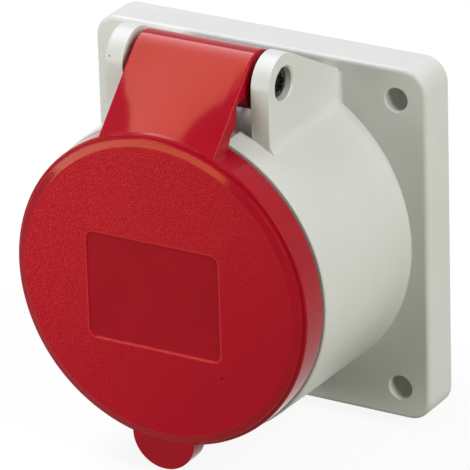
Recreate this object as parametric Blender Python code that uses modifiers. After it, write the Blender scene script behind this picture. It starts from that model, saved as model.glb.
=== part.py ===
"""Panel socket for industrial plugs: square flange, round body, sprung hinged lid.

Five contact sleeves sit in a round insulator inside the collar. Lengths are in metres.
The collar's axis is the Y axis, the panel lies in the plane y = 0 and the lid faces -Y,
so a place in front of the panel has a negative y.
"""

from math import acos, asin, atan2, cos, pi, radians, sin, sqrt

import bmesh
import bpy
from mathutils import Matrix, Vector

# Clearances and cutting
GAP = 0.0003                      # between pieces that touch or seat
OVERRUN = 0.001                   # how far a cutter runs past the face it opens
SEAM = 0.0006                     # how deep a joined form starts inside its carrier
FOOT_SINK = 0.0001                # how far a fillet's foot runs under the face it meets
WELD = 0.000001

# Fineness of the round forms
LARGE_STEPS = 46
MEDIUM_STEPS = 28
SMALL_STEPS = 20
CONTACT_STEPS = 14
FILLET_STEPS = 3

# Flange
FLANGE_MARGIN = 0.0043            # flange's edge beyond the body's root
FLANGE_DEPTH = 0.0102
FLANGE_CORNER = 0.0055
FLANGE_EDGE = 0.0012
FLANGE_WALL = 0.0025
FLANGE_FACE_WALL = 0.003
SEAL_LAND = 0.003
SEAL_RECESS = 0.0018
SEAL_HOLE_MARGIN = 0.0004
FIXING_INSET = 0.0075             # screw hole's centre from the flange's edge
FIXING_RADIUS = 0.00275
FIXING_CHAMFER = 0.00045
FIXING_BOSS_RADIUS = 0.0052
RIB_THICKNESS = 0.0018

# Body and collar
COLLAR_WALL = 0.0049              # at the mouth
BODY_DRAFT = 0.0008               # how much wider the body is at its root
BODY_ROOT_FILLET = 0.0009
MOUTH_FRONT = 0.0476              # mouth's distance in front of the panel
MOUTH_EDGE = 0.0004
SHROUD_GAP = 0.0057               # between the insert and the collar
COLLAR_LEAD_IN = 0.0008
SHOULDER_FRONT = 0.0095
SHOULDER_BACK = 0.0045
BASE_LAND = 0.0051                # width of the shoulder that the base plate seats on
KEYWAY_WIDTH = 0.0078
KEYWAY_DEPTH = 0.003

# Hinge ears, slot between them and notch in the collar's lip
HINGE_FRONT = 0.0343              # axis, in front of the panel
HINGE_RISE = 0.0076               # axis, above the body's mouth
EAR_OUTER_X = 0.0206
EAR_THICKNESS = 0.0044
EAR_RADIUS = 0.0070
EAR_ROOT_INSET = 0.0021           # where the ears' top meets the flange, below its edge
EAR_FOOT_DEPTH = 0.0074           # how far the ears run down inside the body's wall
SLOT_DEPTH = 0.0020               # slot's floor below the body's mouth radius
NOTCH_HALF_WIDTH = 0.0133
NOTCH_FLARE = 0.0016
COUNTERBORE_RADIUS = 0.0038
COUNTERBORE_DEPTH = 0.0030
COUNTERBORE_CHAMFER = 0.0004

# Lid
LID_INSET = 0.0006                # lid's edge inside the body's mouth radius
LID_OPEN_GAP = 0.0006             # between the collar's mouth and the lid's rim
LID_RIM_DEPTH = 0.0070
DISC_RISE = 0.00145
LID_DRAFT = 0.0001
LEDGE_WIDTH = 0.0009
DISC_BAND = 0.0018
DISC_BAND_DROP = 0.0005
LID_EDGE = 0.0004
LID_PLATE = 0.0030
LID_RIM_WALL = 0.0018
SEAL_GROOVE_DEPTH = 0.0032
SEAL_WIDTH = 0.0017
SEAL_KEEPER_WALL = 0.0016
SEAL_KEEPER_HEIGHT = 0.0018
LABEL_WIDTH = 0.0336
LABEL_HEIGHT = 0.0255
LABEL_DEPTH = 0.0004
LABEL_CORNER = 0.0020
LABEL_OFFSET_X = -0.0011
LABEL_OFFSET_Z = -0.0011
TAB_RADIUS = 0.0067
TAB_OVERHANG = 0.0062             # tip of the thumb tab beyond the lid's edge
TAB_ROOT_FLARE = 0.0010
TAB_THICKNESS = 0.0057
TAB_WALL = 0.0018

# Lid's arm
ARM_HALF_WIDTH = 0.0147
BARREL_RADIUS = 0.0068
BARREL_STEPS = 18
ARM_SECTIONS = 10
WEB_THICKNESS = 0.0022            # side webs under the arm
WEB_DRAFT = 0.0003
WEB_ROOT_DROP = 0.0015            # where a web leaves the barrel, below the hinge axis
WEB_HEEL_REACH = 0.0108           # in front of the hinge axis
WEB_HEEL_DROP = 0.0025            # below the hinge axis
WEB_FOOT_SETBACK = 0.0033         # behind the lid's back
WEB_FOOT_RISE = 0.0013            # above the lid's edge
WEB_TOE_SETBACK = 0.0006
WEB_TOE_DROP = 0.0006
HOOK_THICKNESS = 0.0026
HOOK_DROP = 0.0008                # below the lid's edge
HOOK_FRONT_HEIGHT = 0.0026
HOOK_BACK_HEIGHT = 0.0046
SPRING_POCKET_RADIUS = 0.0047
SPRING_POCKET_HALF_WIDTH = 0.0104
LEG_SLOT_WIDTH = 0.0018
LEG_SLOT_DEGREES = 124            # the opening angle and room for the leg, centred behind

# Hinge screw
PIN_RADIUS = 0.0020
PIN_HEAD_RADIUS = 0.0034
PIN_HEAD_THICKNESS = 0.0019
PIN_THREAD_ENGAGEMENT = 0.0031
LOBE_RADIUS = 0.0018
LOBE_DEPTH = 0.0012
LOBE_COUNT = 6
LOBE_WAVE_SHARE = 0.16

# Lid spring
WIRE_RADIUS = 0.0005
COIL_RADIUS = 0.0033
COIL_TURNS = 6
COIL_POINTS_PER_TURN = 10
COIL_HALF_LENGTH = 0.0060
LID_LEG_LENGTH = 0.0104
LID_LEG_LEAN_DEGREES = 13
BODY_LEG_LENGTH = 0.0098

# Contact insulator: cover plate in front, carrier with the bores, base plate behind
INSERT_RADIUS = 0.0268
INSERT_FRONT = 0.0415
COVER_THICKNESS = 0.0018
BASE_THICKNESS = 0.0038
CONTACT_CIRCLE_RADIUS = 0.01925
CONTACT_COUNT = 5

# Terminal insulator, behind the base plate
TERMINAL_CARRIER_INSET = 0.0003   # inside the insert's radius
TERMINAL_CARRIER_BACK = 0.0210

# Contact sleeves: values that all share
SLEEVE_WALL = 0.0011
SLEEVE_CLEARANCE = 0.0001         # round the pin
PIN_ENTRY_CLEARANCE = 0.00035
SLEEVE_DEPTH = 0.0350
SLEEVE_COLLAR_STEP = 0.0017
SLEEVE_GROOVE_DEPTH = 0.0003
SLOT_WIDTH = 0.0007
SLOT_LENGTH = 0.0150
TERMINAL_WALL = 0.0022
TERMINAL_BACK = 0.0170
WIRE_BORE_DEPTH = 0.0125
PHASE_PIN_RADIUS = 0.0030
EARTH_PIN_RADIUS = 0.0040
CONDUCTOR_RADIUS = 0.0030

# Spring rings on the sleeves
CLAMP_THICKNESS = 0.0006
CLAMP_WIDTH = 0.0030
CLAMP_SETBACK = 0.0030
CLAMP_OPENING = 0.0012

# Terminal screws
TERMINAL_SCREW_RADIUS = 0.0021
TERMINAL_SCREW_HEAD_RADIUS = 0.0026
TERMINAL_SCREW_HEAD = 0.0015
TERMINAL_SCREW_SETBACK = 0.0100
DRIVE_SLOT_WIDTH = 0.0007
DRIVE_SLOT_DEPTH = 0.0007

# Screws that hold the insulators
CARRIER_SCREW_RADIUS = 0.00145
CARRIER_SCREW_HEAD_RADIUS = 0.0024
CARRIER_SCREW_HEAD = 0.0019
CARRIER_SCREW_INSET = 0.00275      # inside the base plate's recess
CARRIER_SCREW_REACH = 0.0084
CARRIER_SCREW_COUNT = 3
CENTRE_SCREW_RADIUS = 0.0016
CENTRE_SCREW_HEAD_RADIUS = 0.0032
CENTRE_SCREW_HEAD = 0.0020

# Places worked out from the sizes above
SHOULDER_RADIUS = INSERT_RADIUS + GAP
REAR_RADIUS = SHOULDER_RADIUS + BASE_LAND
COLLAR_RADIUS = INSERT_RADIUS + SHROUD_GAP      # inside, around the plug's shroud
BODY_MOUTH_RADIUS = COLLAR_RADIUS + COLLAR_WALL
BODY_BASE_RADIUS = BODY_MOUTH_RADIUS + BODY_DRAFT
HALF_FLANGE = BODY_BASE_RADIUS + FLANGE_MARGIN
FLANGE_WIDTH = 2 * HALF_FLANGE
HALF_FIXING = HALF_FLANGE - FIXING_INSET
SEAL_HOLE_RADIUS = REAR_RADIUS + SEAL_HOLE_MARGIN
HINGE_HEIGHT = BODY_MOUTH_RADIUS + HINGE_RISE   # axis, above the collar's axis
EAR_INNER_X = EAR_OUTER_X - EAR_THICKNESS
EAR_FRONT = HINGE_FRONT + EAR_RADIUS
EAR_ROOT_HEIGHT = HALF_FLANGE - EAR_ROOT_INSET
EAR_FOOT_HEIGHT = BODY_MOUTH_RADIUS - EAR_FOOT_DEPTH
SLOT_RADIUS = BODY_MOUTH_RADIUS - SLOT_DEPTH
LID_RADIUS = BODY_MOUTH_RADIUS - LID_INSET
LID_BACK = MOUTH_FRONT + LID_OPEN_GAP           # back of the rim, in front of the panel
LID_LEDGE = LID_BACK + LID_RIM_DEPTH
LID_FACE = LID_LEDGE + DISC_RISE
DISC_RADIUS = LID_RADIUS - LEDGE_WIDTH
TAB_REACH = LID_RADIUS + TAB_OVERHANG           # tip of the thumb tab below the axis
TAB_BACK = LID_LEDGE - TAB_THICKNESS
SEAL_FLOOR = SEAL_RECESS
RECESS_WIDTH = FLANGE_WIDTH - 2 * FLANGE_WALL
POCKET_WIDTH = RECESS_WIDTH - 2 * SEAL_LAND
POCKET_FRONT = FLANGE_DEPTH - FLANGE_FACE_WALL
BASE_FRONT = SHOULDER_BACK - GAP
BASE_BACK = BASE_FRONT - BASE_THICKNESS
KEY_FLOOR = COLLAR_RADIUS + KEYWAY_DEPTH
GROOVE_OUTER = LID_RADIUS + LID_DRAFT - LID_RIM_WALL
GROOVE_INNER = GROOVE_OUTER - SEAL_WIDTH - 2 * GAP
GROOVE_FLOOR = LID_BACK + SEAL_GROOVE_DEPTH
CARRIER_FRONT = INSERT_FRONT - COVER_THICKNESS - GAP
CARRIER_BACK = BASE_FRONT + GAP
SLEEVE_FRONT = CARRIER_FRONT
TERMINAL_RADIUS = CONDUCTOR_RADIUS + TERMINAL_WALL
TERMINAL_CARRIER_RADIUS = INSERT_RADIUS - TERMINAL_CARRIER_INSET
CARRIER_SCREW_CIRCLE = REAR_RADIUS - CARRIER_SCREW_INSET

COLOURS = {
    "grey": (0.62, 0.63, 0.61),
    "red": (0.40, 0.01, 0.02),
    "black": (0.02, 0.02, 0.022),
    "dark_grey": (0.10, 0.10, 0.11),
    "brass": (0.78, 0.58, 0.26),
    "steel": (0.60, 0.60, 0.60),
}


# Scene and materials

def clear_scene():
    """Remove every object that the file opened with."""
    for obj in list(bpy.data.objects):
        bpy.data.objects.remove(obj, do_unlink=True)


def new_collection(name):
    """Return a new collection linked to the scene."""
    group = bpy.data.collections.new(name)
    bpy.context.scene.collection.children.link(group)
    return group


clear_scene()
PARTS = new_collection("panel_socket")
TOOLS = new_collection("cutters")


def finish(obj, colour, roughness=0.5, metallic=0.0):
    """Give an object its own Principled material, named for the object."""
    material = bpy.data.materials.new(obj.name)
    material.use_nodes = True
    shader = material.node_tree.nodes["Principled BSDF"]
    shader.inputs["Base Color"].default_value = (*COLOURS[colour], 1.0)
    shader.inputs["Roughness"].default_value = roughness
    shader.inputs["Metallic"].default_value = metallic
    obj.data.materials.clear()
    obj.data.materials.append(material)
    obj.data.shade_smooth()
    obj.data.set_sharp_from_angle(angle=radians(35))


def new_object(name, data, group):
    """Link a new object that holds the given data."""
    obj = bpy.data.objects.new(name, data)
    group.objects.link(obj)
    return obj


def settle(obj):
    """Replace an object by the mesh that its modifiers or curve give, closed and facing out."""
    graph = bpy.context.evaluated_depsgraph_get()
    mesh = bpy.data.meshes.new_from_object(obj.evaluated_get(graph))
    mesh.transform(obj.matrix_world)
    shape = bmesh.new()
    shape.from_mesh(mesh)
    bmesh.ops.remove_doubles(shape, verts=shape.verts, dist=WELD)
    bmesh.ops.recalc_face_normals(shape, faces=shape.faces)
    shape.to_mesh(mesh)
    shape.free()
    name = obj.name
    group = obj.users_collection[0]
    bpy.data.objects.remove(obj, do_unlink=True)
    return new_object(name, mesh, group)


# Basic forms

def turned(name, outline, group=TOOLS, steps=LARGE_STEPS, closed=False):
    """Turn an outline of (radius, distance in front of the panel) about the collar's axis."""
    mesh = bpy.data.meshes.new(name)
    points = [(radius, -front, 0.0) for radius, front in outline]
    edges = [(i, i + 1) for i in range(len(points) - 1)]
    if closed:
        edges.append((len(points) - 1, 0))
    mesh.from_pydata(points, edges, [])
    obj = new_object(name, mesh, group)
    screw = obj.modifiers.new("turn", "SCREW")
    screw.axis = "Y"
    screw.steps = steps
    screw.render_steps = steps
    screw.use_merge_vertices = True
    screw.merge_threshold = WELD
    bpy.context.view_layer.update()
    return settle(obj)


def slab(name, outline, thickness, frame, group=TOOLS):
    """Give a flat outline a thickness, centred on its plane, and place it by a matrix."""
    curve = bpy.data.curves.new(name, "CURVE")
    curve.dimensions = "2D"
    curve.fill_mode = "BOTH"
    curve.extrude = thickness / 2
    spline = curve.splines.new("POLY")
    spline.points.add(len(outline) - 1)
    for point, (u, v) in zip(spline.points, outline):
        point.co = (u, v, 0.0, 1.0)
    spline.use_cyclic_u = True
    obj = new_object(name, curve, group)
    obj.matrix_world = frame
    bpy.context.view_layer.update()
    return settle(obj)


def across(x):
    """Frame of an outline drawn in (y, z) and centred at x."""
    return Matrix(((0, 0, 1, x), (1, 0, 0, 0), (0, 1, 0, 0), (0, 0, 0, 1)))


def facing(y):
    """Frame of an outline drawn in (x, z) and centred at y."""
    return Matrix(((1, 0, 0, 0), (0, 0, -1, y), (0, 1, 0, 0), (0, 0, 0, 1)))


def layer(name, outline, front, back, group=TOOLS):
    """Slab of an (x, z) outline between two distances in front of the panel."""
    return slab(name, outline, front - back, facing(-(front + back) / 2), group)


def block(name, low, high, group=TOOLS):
    """Box between two corners."""
    shape = bmesh.new()
    middle = (Vector(low) + Vector(high)) / 2
    size = Vector(high) - Vector(low)
    frame = Matrix.Translation(middle) @ Matrix.Diagonal((*size, 1.0))
    bmesh.ops.create_cube(shape, size=1.0, matrix=frame)
    mesh = bpy.data.meshes.new(name)
    shape.to_mesh(mesh)
    shape.free()
    return new_object(name, mesh, group)


def rod(name, radius, start, end, group=TOOLS, steps=SMALL_STEPS, end_radius=None):
    """Cylinder or cone between two points."""
    start, end = Vector(start), Vector(end)
    along = end - start
    turn = along.to_track_quat("Z", "Y").to_matrix().to_4x4()
    shape = bmesh.new()
    bmesh.ops.create_cone(
        shape,
        cap_ends=True,
        segments=steps,
        radius1=radius,
        radius2=radius if end_radius is None else end_radius,
        depth=along.length,
        matrix=Matrix.Translation((start + end) / 2) @ turn,
    )
    mesh = bpy.data.meshes.new(name)
    shape.to_mesh(mesh)
    shape.free()
    return new_object(name, mesh, group)


def arc(centre, radius, start, end, steps):
    """Points along an arc, from one angle to another, both ends included."""
    angles = [start + (end - start) * i / steps for i in range(steps + 1)]
    return [(centre[0] + radius * cos(a), centre[1] + radius * sin(a)) for a in angles]


def rounded_square(width, height, corner, steps=4, centre=(0.0, 0.0)):
    """Outline of a rectangle with round corners."""
    u, v = width / 2 - corner, height / 2 - corner
    points = []
    for turn, (su, sv) in enumerate(((1, 1), (-1, 1), (-1, -1), (1, -1))):
        start = turn * pi / 2
        middle = (centre[0] + su * u, centre[1] + sv * v)
        points += arc(middle, corner, start, start + pi / 2, steps)
    return points


def combine(target, tool, operation):
    """Add a Boolean to a target and keep its tool out of the model."""
    modifier = target.modifiers.new(tool.name, "BOOLEAN")
    modifier.operation = operation
    modifier.solver = "EXACT"
    modifier.object = tool
    tool.hide_render = True
    tool.display_type = "WIRE"
    return target


def cut(target, *tools):
    """Take tools away from a target."""
    for tool in tools:
        combine(target, tool, "DIFFERENCE")
    return target


def join(target, *tools):
    """Fuse tools with a target."""
    for tool in tools:
        combine(target, tool, "UNION")
    return target


def soften(obj, width, chosen, steps=FILLET_STEPS):
    """Round the real edges, those between faces that turn, whose two ends pass a test."""
    shape = bmesh.new()
    shape.from_mesh(obj.data)
    bmesh.ops.dissolve_limit(
        shape, angle_limit=radians(1), verts=shape.verts, edges=shape.edges
    )
    edges = [
        e for e in shape.edges
        if e.calc_face_angle(0.0) > radians(30) and all(chosen(v.co) for v in e.verts)
    ]
    bmesh.ops.bevel(
        shape, geom=edges, offset=width, segments=steps, profile=0.5, affect="EDGES"
    )
    shape.to_mesh(obj.data)
    shape.free()
    return obj


def around(radius, angle, front=0.0):
    """Point on a circle about the collar's axis, at an angle from +X towards +Z."""
    return Vector((radius * cos(angle), -front, radius * sin(angle)))


def contact_angle(index):
    """Direction of a contact from the axis; the earth contact, index 0, is at the bottom."""
    return -pi / 2 + index * 2 * pi / CONTACT_COUNT


# Housing

def fillet_profile(centre, radius, start, end):
    """Points of a turned fillet, as (radius, front) pairs."""
    return arc(centre, radius, start, end, FILLET_STEPS)


def body_outline():
    """Outer outline of the round body, from its root in the flange to its mouth."""
    root = BODY_BASE_RADIUS + BODY_ROOT_FILLET
    fillet = fillet_profile(
        (root, FLANGE_DEPTH + BODY_ROOT_FILLET - FOOT_SINK), BODY_ROOT_FILLET, -pi / 2, -pi
    )
    lip = fillet_profile(
        (BODY_MOUTH_RADIUS - MOUTH_EDGE, MOUTH_FRONT - MOUTH_EDGE), MOUTH_EDGE, 0.0, pi / 2
    )
    start = FLANGE_DEPTH - SEAM
    return [(0.0, start), (root, start), *fillet, *lip, (0.0, MOUTH_FRONT)]


def bore_outline():
    """Outline of everything that the housing's stepped bore takes away."""
    mouth = MOUTH_FRONT + OVERRUN
    return [
        (0.0, mouth),
        (COLLAR_RADIUS + COLLAR_LEAD_IN + OVERRUN, mouth),
        (COLLAR_RADIUS, MOUTH_FRONT - COLLAR_LEAD_IN),
        (COLLAR_RADIUS, SHOULDER_FRONT),
        (SHOULDER_RADIUS, SHOULDER_FRONT),
        (SHOULDER_RADIUS, SHOULDER_BACK),
        (REAR_RADIUS, SHOULDER_BACK),
        (REAR_RADIUS, -OVERRUN),
        (0.0, -OVERRUN),
    ]


def ear_outline():
    """Side outline of a hinge ear in (y, z): sloping top, round nose, upright front."""
    hinge = (-HINGE_FRONT, HINGE_HEIGHT)
    root = (-FLANGE_DEPTH + SEAM, EAR_ROOT_HEIGHT)
    run, rise = hinge[0] - root[0], hinge[1] - root[1]
    reach = sqrt(run * run + rise * rise)
    slope = atan2(rise, run) - asin(EAR_RADIUS / reach)
    nose = arc(hinge, EAR_RADIUS, slope - pi / 2, pi, 8)
    foot = [(-EAR_FRONT, EAR_FOOT_HEIGHT), (root[0], EAR_FOOT_HEIGHT)]
    return [root, *nose, *foot]


def slot_tool():
    """Space between the ears, down to a round floor."""
    tool = block(
        "slot_tool",
        (-EAR_INNER_X, -EAR_FRONT, 0.0),
        (EAR_INNER_X, -FLANGE_DEPTH - BODY_ROOT_FILLET, HINGE_HEIGHT + 2 * EAR_RADIUS),
    )
    floor = rod(
        "slot_floor",
        SLOT_RADIUS,
        (0.0, -EAR_FRONT - OVERRUN, 0.0),
        (0.0, -FLANGE_DEPTH + OVERRUN, 0.0),
        steps=LARGE_STEPS,
    )
    return cut(tool, floor)


def notch_tool():
    """Notch in the collar's lip for the lid's hook, flared towards the mouth."""
    front = -MOUTH_FRONT - OVERRUN
    back = -EAR_FRONT + OVERRUN
    half, wide = NOTCH_HALF_WIDTH, NOTCH_HALF_WIDTH + NOTCH_FLARE
    bend = -MOUTH_FRONT + 2 * NOTCH_FLARE
    right = [(wide, front), (wide, -MOUTH_FRONT), (half + NOTCH_FLARE / 4, bend), (half, back)]
    left = [(-x, y) for x, y in reversed(right)]
    height = EAR_OUTER_X
    tool = slab(
        "notch_tool",
        right + left,
        height,
        Matrix.Translation((0.0, 0.0, SLOT_RADIUS)),
    )
    floor = rod(
        "notch_floor",
        SLOT_RADIUS,
        (0.0, front - OVERRUN, 0.0),
        (0.0, back + OVERRUN, 0.0),
        steps=LARGE_STEPS,
    )
    return cut(tool, floor)


def pocket_tool():
    """Hollows in the flange's corners, around the screw bosses and their ribs."""
    outline = rounded_square(POCKET_WIDTH, POCKET_WIDTH, FLANGE_CORNER / 2)
    tool = layer("pocket_tool", outline, POCKET_FRONT, SEAL_FLOOR - OVERRUN)
    front, back = -POCKET_FRONT - OVERRUN, -SEAL_FLOOR + 2 * OVERRUN
    wall = BODY_BASE_RADIUS - FLANGE_WALL / 2
    core = rod("pocket_core", wall, (0, front, 0), (0, back, 0), steps=LARGE_STEPS)
    cut(tool, core)
    for index, (sx, sz) in enumerate(((1, 1), (-1, 1), (-1, -1), (1, -1))):
        x, z = sx * HALF_FIXING, sz * HALF_FIXING
        boss = rod(
            f"boss_core_{index}", FIXING_BOSS_RADIUS, (x, front, z), (x, back, z)
        )
        cut(tool, boss)
    for index, turn in enumerate((pi / 4, -pi / 4)):
        rib = block(
            f"rib_core_{index}",
            (-FLANGE_WIDTH, front, -RIB_THICKNESS / 2),
            (FLANGE_WIDTH, back, RIB_THICKNESS / 2),
        )
        rib.data.transform(Matrix.Rotation(turn, 4, "Y"))
        cut(tool, rib)
    return tool


def fixing_tools():
    """Four screw holes through the flange, each with a light chamfer in front."""
    mouth = FLANGE_DEPTH + OVERRUN
    outline = [
        (0.0, mouth),
        (FIXING_RADIUS + FIXING_CHAMFER + OVERRUN, mouth),
        (FIXING_RADIUS, FLANGE_DEPTH - FIXING_CHAMFER),
        (FIXING_RADIUS, -OVERRUN),
        (0.0, -OVERRUN),
    ]
    tools = []
    for index, (sx, sz) in enumerate(((1, 1), (-1, 1), (-1, -1), (1, -1))):
        tool = turned(f"fixing_{index}", outline, steps=SMALL_STEPS)
        tool.location = (sx * HALF_FIXING, 0.0, sz * HALF_FIXING)
        tools.append(tool)
    return tools


def hinge_bore_tool():
    """Screw's hole through the right ear with its sunk seat, and blind hole in the left ear."""
    seat = EAR_OUTER_X - COUNTERBORE_DEPTH
    blind = -EAR_INNER_X - PIN_THREAD_ENGAGEMENT - GAP
    mouth = EAR_OUTER_X + OVERRUN
    outline = [
        (0.0, mouth),
        (COUNTERBORE_RADIUS + COUNTERBORE_CHAMFER + OVERRUN, mouth),
        (COUNTERBORE_RADIUS, EAR_OUTER_X - COUNTERBORE_CHAMFER),
        (COUNTERBORE_RADIUS, seat),
        (PIN_RADIUS + GAP, seat),
        (PIN_RADIUS + GAP, blind),
        (0.0, blind),
    ]
    tool = turned("hinge_bore", outline, steps=SMALL_STEPS)
    tool.data.transform(Matrix.Rotation(pi / 2, 4, "Z"))
    tool.location = (0.0, -HINGE_FRONT, HINGE_HEIGHT)
    return tool


def carrier_screw_places():
    """Directions of the screws that hold the insulators, one of them at the top."""
    return [pi / 2 + i * 2 * pi / CARRIER_SCREW_COUNT for i in range(CARRIER_SCREW_COUNT)]


def make_housing():
    """Flange, round body, collar and hinge ears: one moulding."""
    outline = rounded_square(FLANGE_WIDTH, FLANGE_WIDTH, FLANGE_CORNER, steps=6)
    housing = layer("housing", outline, FLANGE_DEPTH, 0.0, PARTS)
    soften(housing, FLANGE_EDGE, lambda p: p.y < -FLANGE_DEPTH + GAP)
    ears = []
    for side, name in ((1, "right_ear"), (-1, "left_ear")):
        x = side * (EAR_OUTER_X - EAR_THICKNESS / 2)
        ears.append(slab(name, ear_outline(), EAR_THICKNESS, across(x)))
    join(housing, turned("body_form", body_outline()), *ears)
    cut(housing, slot_tool(), notch_tool(), turned("bore_tool", bore_outline()))
    keyway = block(
        "keyway_tool",
        (-KEYWAY_WIDTH / 2, -MOUTH_FRONT - OVERRUN, -KEY_FLOOR),
        (KEYWAY_WIDTH / 2, -SHOULDER_FRONT, 0.0),
    )
    recess = layer(
        "seal_recess",
        rounded_square(RECESS_WIDTH, RECESS_WIDTH, FLANGE_CORNER - FLANGE_WALL),
        SEAL_FLOOR, -OVERRUN,
    )
    cut(housing, keyway, recess, pocket_tool(), *fixing_tools(), hinge_bore_tool())
    depth = CARRIER_SCREW_REACH + GAP
    for index, angle in enumerate(carrier_screw_places()):
        cut(housing, rod(
            f"carrier_screw_hole_{index}", CARRIER_SCREW_RADIUS + GAP,
            around(CARRIER_SCREW_CIRCLE, angle, depth),
            around(CARRIER_SCREW_CIRCLE, angle, SHOULDER_BACK - OVERRUN),
        ))
    finish(housing, "grey", 0.45)
    return housing


def make_flange_seal():
    """Flat rubber seal in the flange's back."""
    width = RECESS_WIDTH - 2 * GAP
    outline = rounded_square(width, width, FLANGE_CORNER - FLANGE_WALL - GAP)
    seal = layer("flange_seal", outline, SEAL_FLOOR - GAP, GAP, PARTS)
    hole = rod(
        "seal_hole", SEAL_HOLE_RADIUS, (0, -SEAL_FLOOR - OVERRUN, 0), (0, OVERRUN, 0),
        steps=LARGE_STEPS,
    )
    cut(seal, hole)
    for index, (sx, sz) in enumerate(((1, 1), (-1, 1), (-1, -1), (1, -1))):
        x, z = sx * HALF_FIXING, sz * HALF_FIXING
        cut(seal, rod(
            f"seal_fixing_{index}", FIXING_RADIUS + GAP,
            (x, -SEAL_FLOOR - OVERRUN, z), (x, OVERRUN, z),
        ))
    finish(seal, "black", 0.8)
    return seal


# Lid

def lid_outline():
    """Turned outline of the lid's cap, from the face's middle round its edge to the back."""
    flat = DISC_RADIUS - DISC_BAND
    shoulder = LID_FACE - DISC_BAND_DROP
    rim = fillet_profile((LID_RADIUS - LID_EDGE, LID_LEDGE - LID_EDGE), LID_EDGE, pi / 2, 0.0)
    return [
        (0.0, LID_FACE),
        (flat, LID_FACE),
        (DISC_RADIUS - DISC_BAND / 3, LID_FACE - DISC_BAND_DROP / 3),
        (DISC_RADIUS, shoulder),
        (DISC_RADIUS, LID_LEDGE),
        *rim,
        (LID_RADIUS + LID_DRAFT, LID_BACK),
        (0.0, LID_BACK),
    ]


def lid_inside_outline():
    """Turned outline of the lid's hollow: the seal's groove, its keeper ring and the cavity."""
    keeper = GROOVE_FLOOR - SEAL_KEEPER_HEIGHT
    inside = LID_FACE - LID_PLATE
    return [
        (0.0, LID_BACK - OVERRUN),
        (GROOVE_OUTER, LID_BACK - OVERRUN),
        (GROOVE_OUTER, GROOVE_FLOOR),
        (GROOVE_INNER, GROOVE_FLOOR),
        (GROOVE_INNER, keeper),
        (GROOVE_INNER - SEAL_KEEPER_WALL, keeper),
        (GROOVE_INNER - SEAL_KEEPER_WALL, inside),
        (0.0, inside),
    ]


def tab_outline(reach, radius):
    """Thumb tab in (x, z): round tip, sides that spread to the lid's edge."""
    tip = arc((0.0, -(reach - radius)), radius, -pi, 0.0, 12)
    root = -(LID_RADIUS - 2 * TAB_RADIUS)
    spread = radius + TAB_ROOT_FLARE
    return [(-spread, root), *tip, (spread, root)]


def arm_section(x, webbed):
    """Section of the arm in (y, z) at one place across it, with its barrel.

    The front runs straight from the barrel to the lid. Its lower end follows the raised
    disc in the middle and reaches out to the rim's edge at the arm's sides. A section in
    a side web is deeper behind than one in the plate between the webs.
    """
    hinge = (-HINGE_FRONT, HINGE_HEIGHT)
    share = (x / ARM_HALF_WIDTH) ** 2
    edge_radius = DISC_RADIUS + (LID_RADIUS - DISC_RADIUS) * share
    edge = (-LID_LEDGE, sqrt(edge_radius ** 2 - x * x))
    run, fall = hinge[0] - edge[0], hinge[1] - edge[1]
    reach = sqrt(run * run + fall * fall)
    start = atan2(-fall, -run) - acos(BARREL_RADIUS / reach) + 2 * pi
    end = -pi + asin(WEB_ROOT_DROP / BARREL_RADIUS)
    barrel = arc(hinge, BARREL_RADIUS, start, end, BARREL_STEPS)
    rim = sqrt(LID_RADIUS ** 2 - x * x)
    toe = (-LID_BACK + WEB_TOE_SETBACK, LID_RADIUS - WEB_TOE_DROP)
    foot = (-LID_BACK + WEB_FOOT_SETBACK, LID_RADIUS + WEB_FOOT_RISE)
    heel = (hinge[0] - WEB_HEEL_REACH, hinge[1] - WEB_HEEL_DROP)
    landing = (-LID_BACK - SEAM, rim + SEAM)
    rear = [heel, foot, toe]
    if not webbed:
        root = barrel[-1]
        shares = [(i + 1) / (len(rear) + 1) for i in range(len(rear))]
        rear = [
            (root[0] + (landing[0] - root[0]) * s, root[1] + (landing[1] - root[1]) * s)
            for s in shares
        ]
    sunk = (landing[0], rim - SEAM)
    inside = (edge[0] + SEAM, edge[1] - LID_RIM_WALL)
    return [*barrel, *rear, landing, sunk, inside, edge]


def arm_form():
    """Loft of the arm's sections across its width."""
    web = ARM_HALF_WIDTH - WEB_THICKNESS
    plate = web - WEB_DRAFT
    inner = [(plate * (2 * i / ARM_SECTIONS - 1), False) for i in range(ARM_SECTIONS + 1)]
    places = [(-ARM_HALF_WIDTH, True), (-web, True), *inner, (web, True), (ARM_HALF_WIDTH, True)]
    shape = bmesh.new()
    rings = [
        [shape.verts.new((x, y, z)) for y, z in arm_section(x, webbed)]
        for x, webbed in places
    ]
    for ring, following in zip(rings, rings[1:]):
        count = len(ring)
        for i in range(count):
            j = (i + 1) % count
            shape.faces.new((ring[i], following[i], following[j], ring[j]))
    shape.faces.new(rings[0])
    shape.faces.new(reversed(rings[-1]))
    bmesh.ops.recalc_face_normals(shape, faces=shape.faces)
    mesh = bpy.data.meshes.new("arm_form")
    shape.to_mesh(mesh)
    shape.free()
    return new_object("arm_form", mesh, TOOLS)


def hook_outline():
    """Side outline in (y, z) of the cross web behind the rim that catches a plug's nose."""
    front = -LID_BACK - HOOK_THICKNESS / 2
    back = -LID_BACK + HOOK_THICKNESS
    low = LID_RADIUS - HOOK_DROP
    top = (low + HOOK_BACK_HEIGHT, low + HOOK_FRONT_HEIGHT)
    return [(front, low), (back, low), (back, top[0]), (front, top[1])]


def spring_pocket_outline():
    """Side outline in (y, z) of the spring's room in the barrel, open underneath."""
    y, z = -HINGE_FRONT, HINGE_HEIGHT
    side = SPRING_POCKET_RADIUS
    low = z - 2 * BARREL_RADIUS
    front, lip = y - BARREL_RADIUS - SEAM, z - WEB_ROOT_DROP - 2 * SEAM
    return [*arc((y, z), side, 0.0, pi, 10), (front, lip), (front, low), (y + side, low)]


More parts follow.
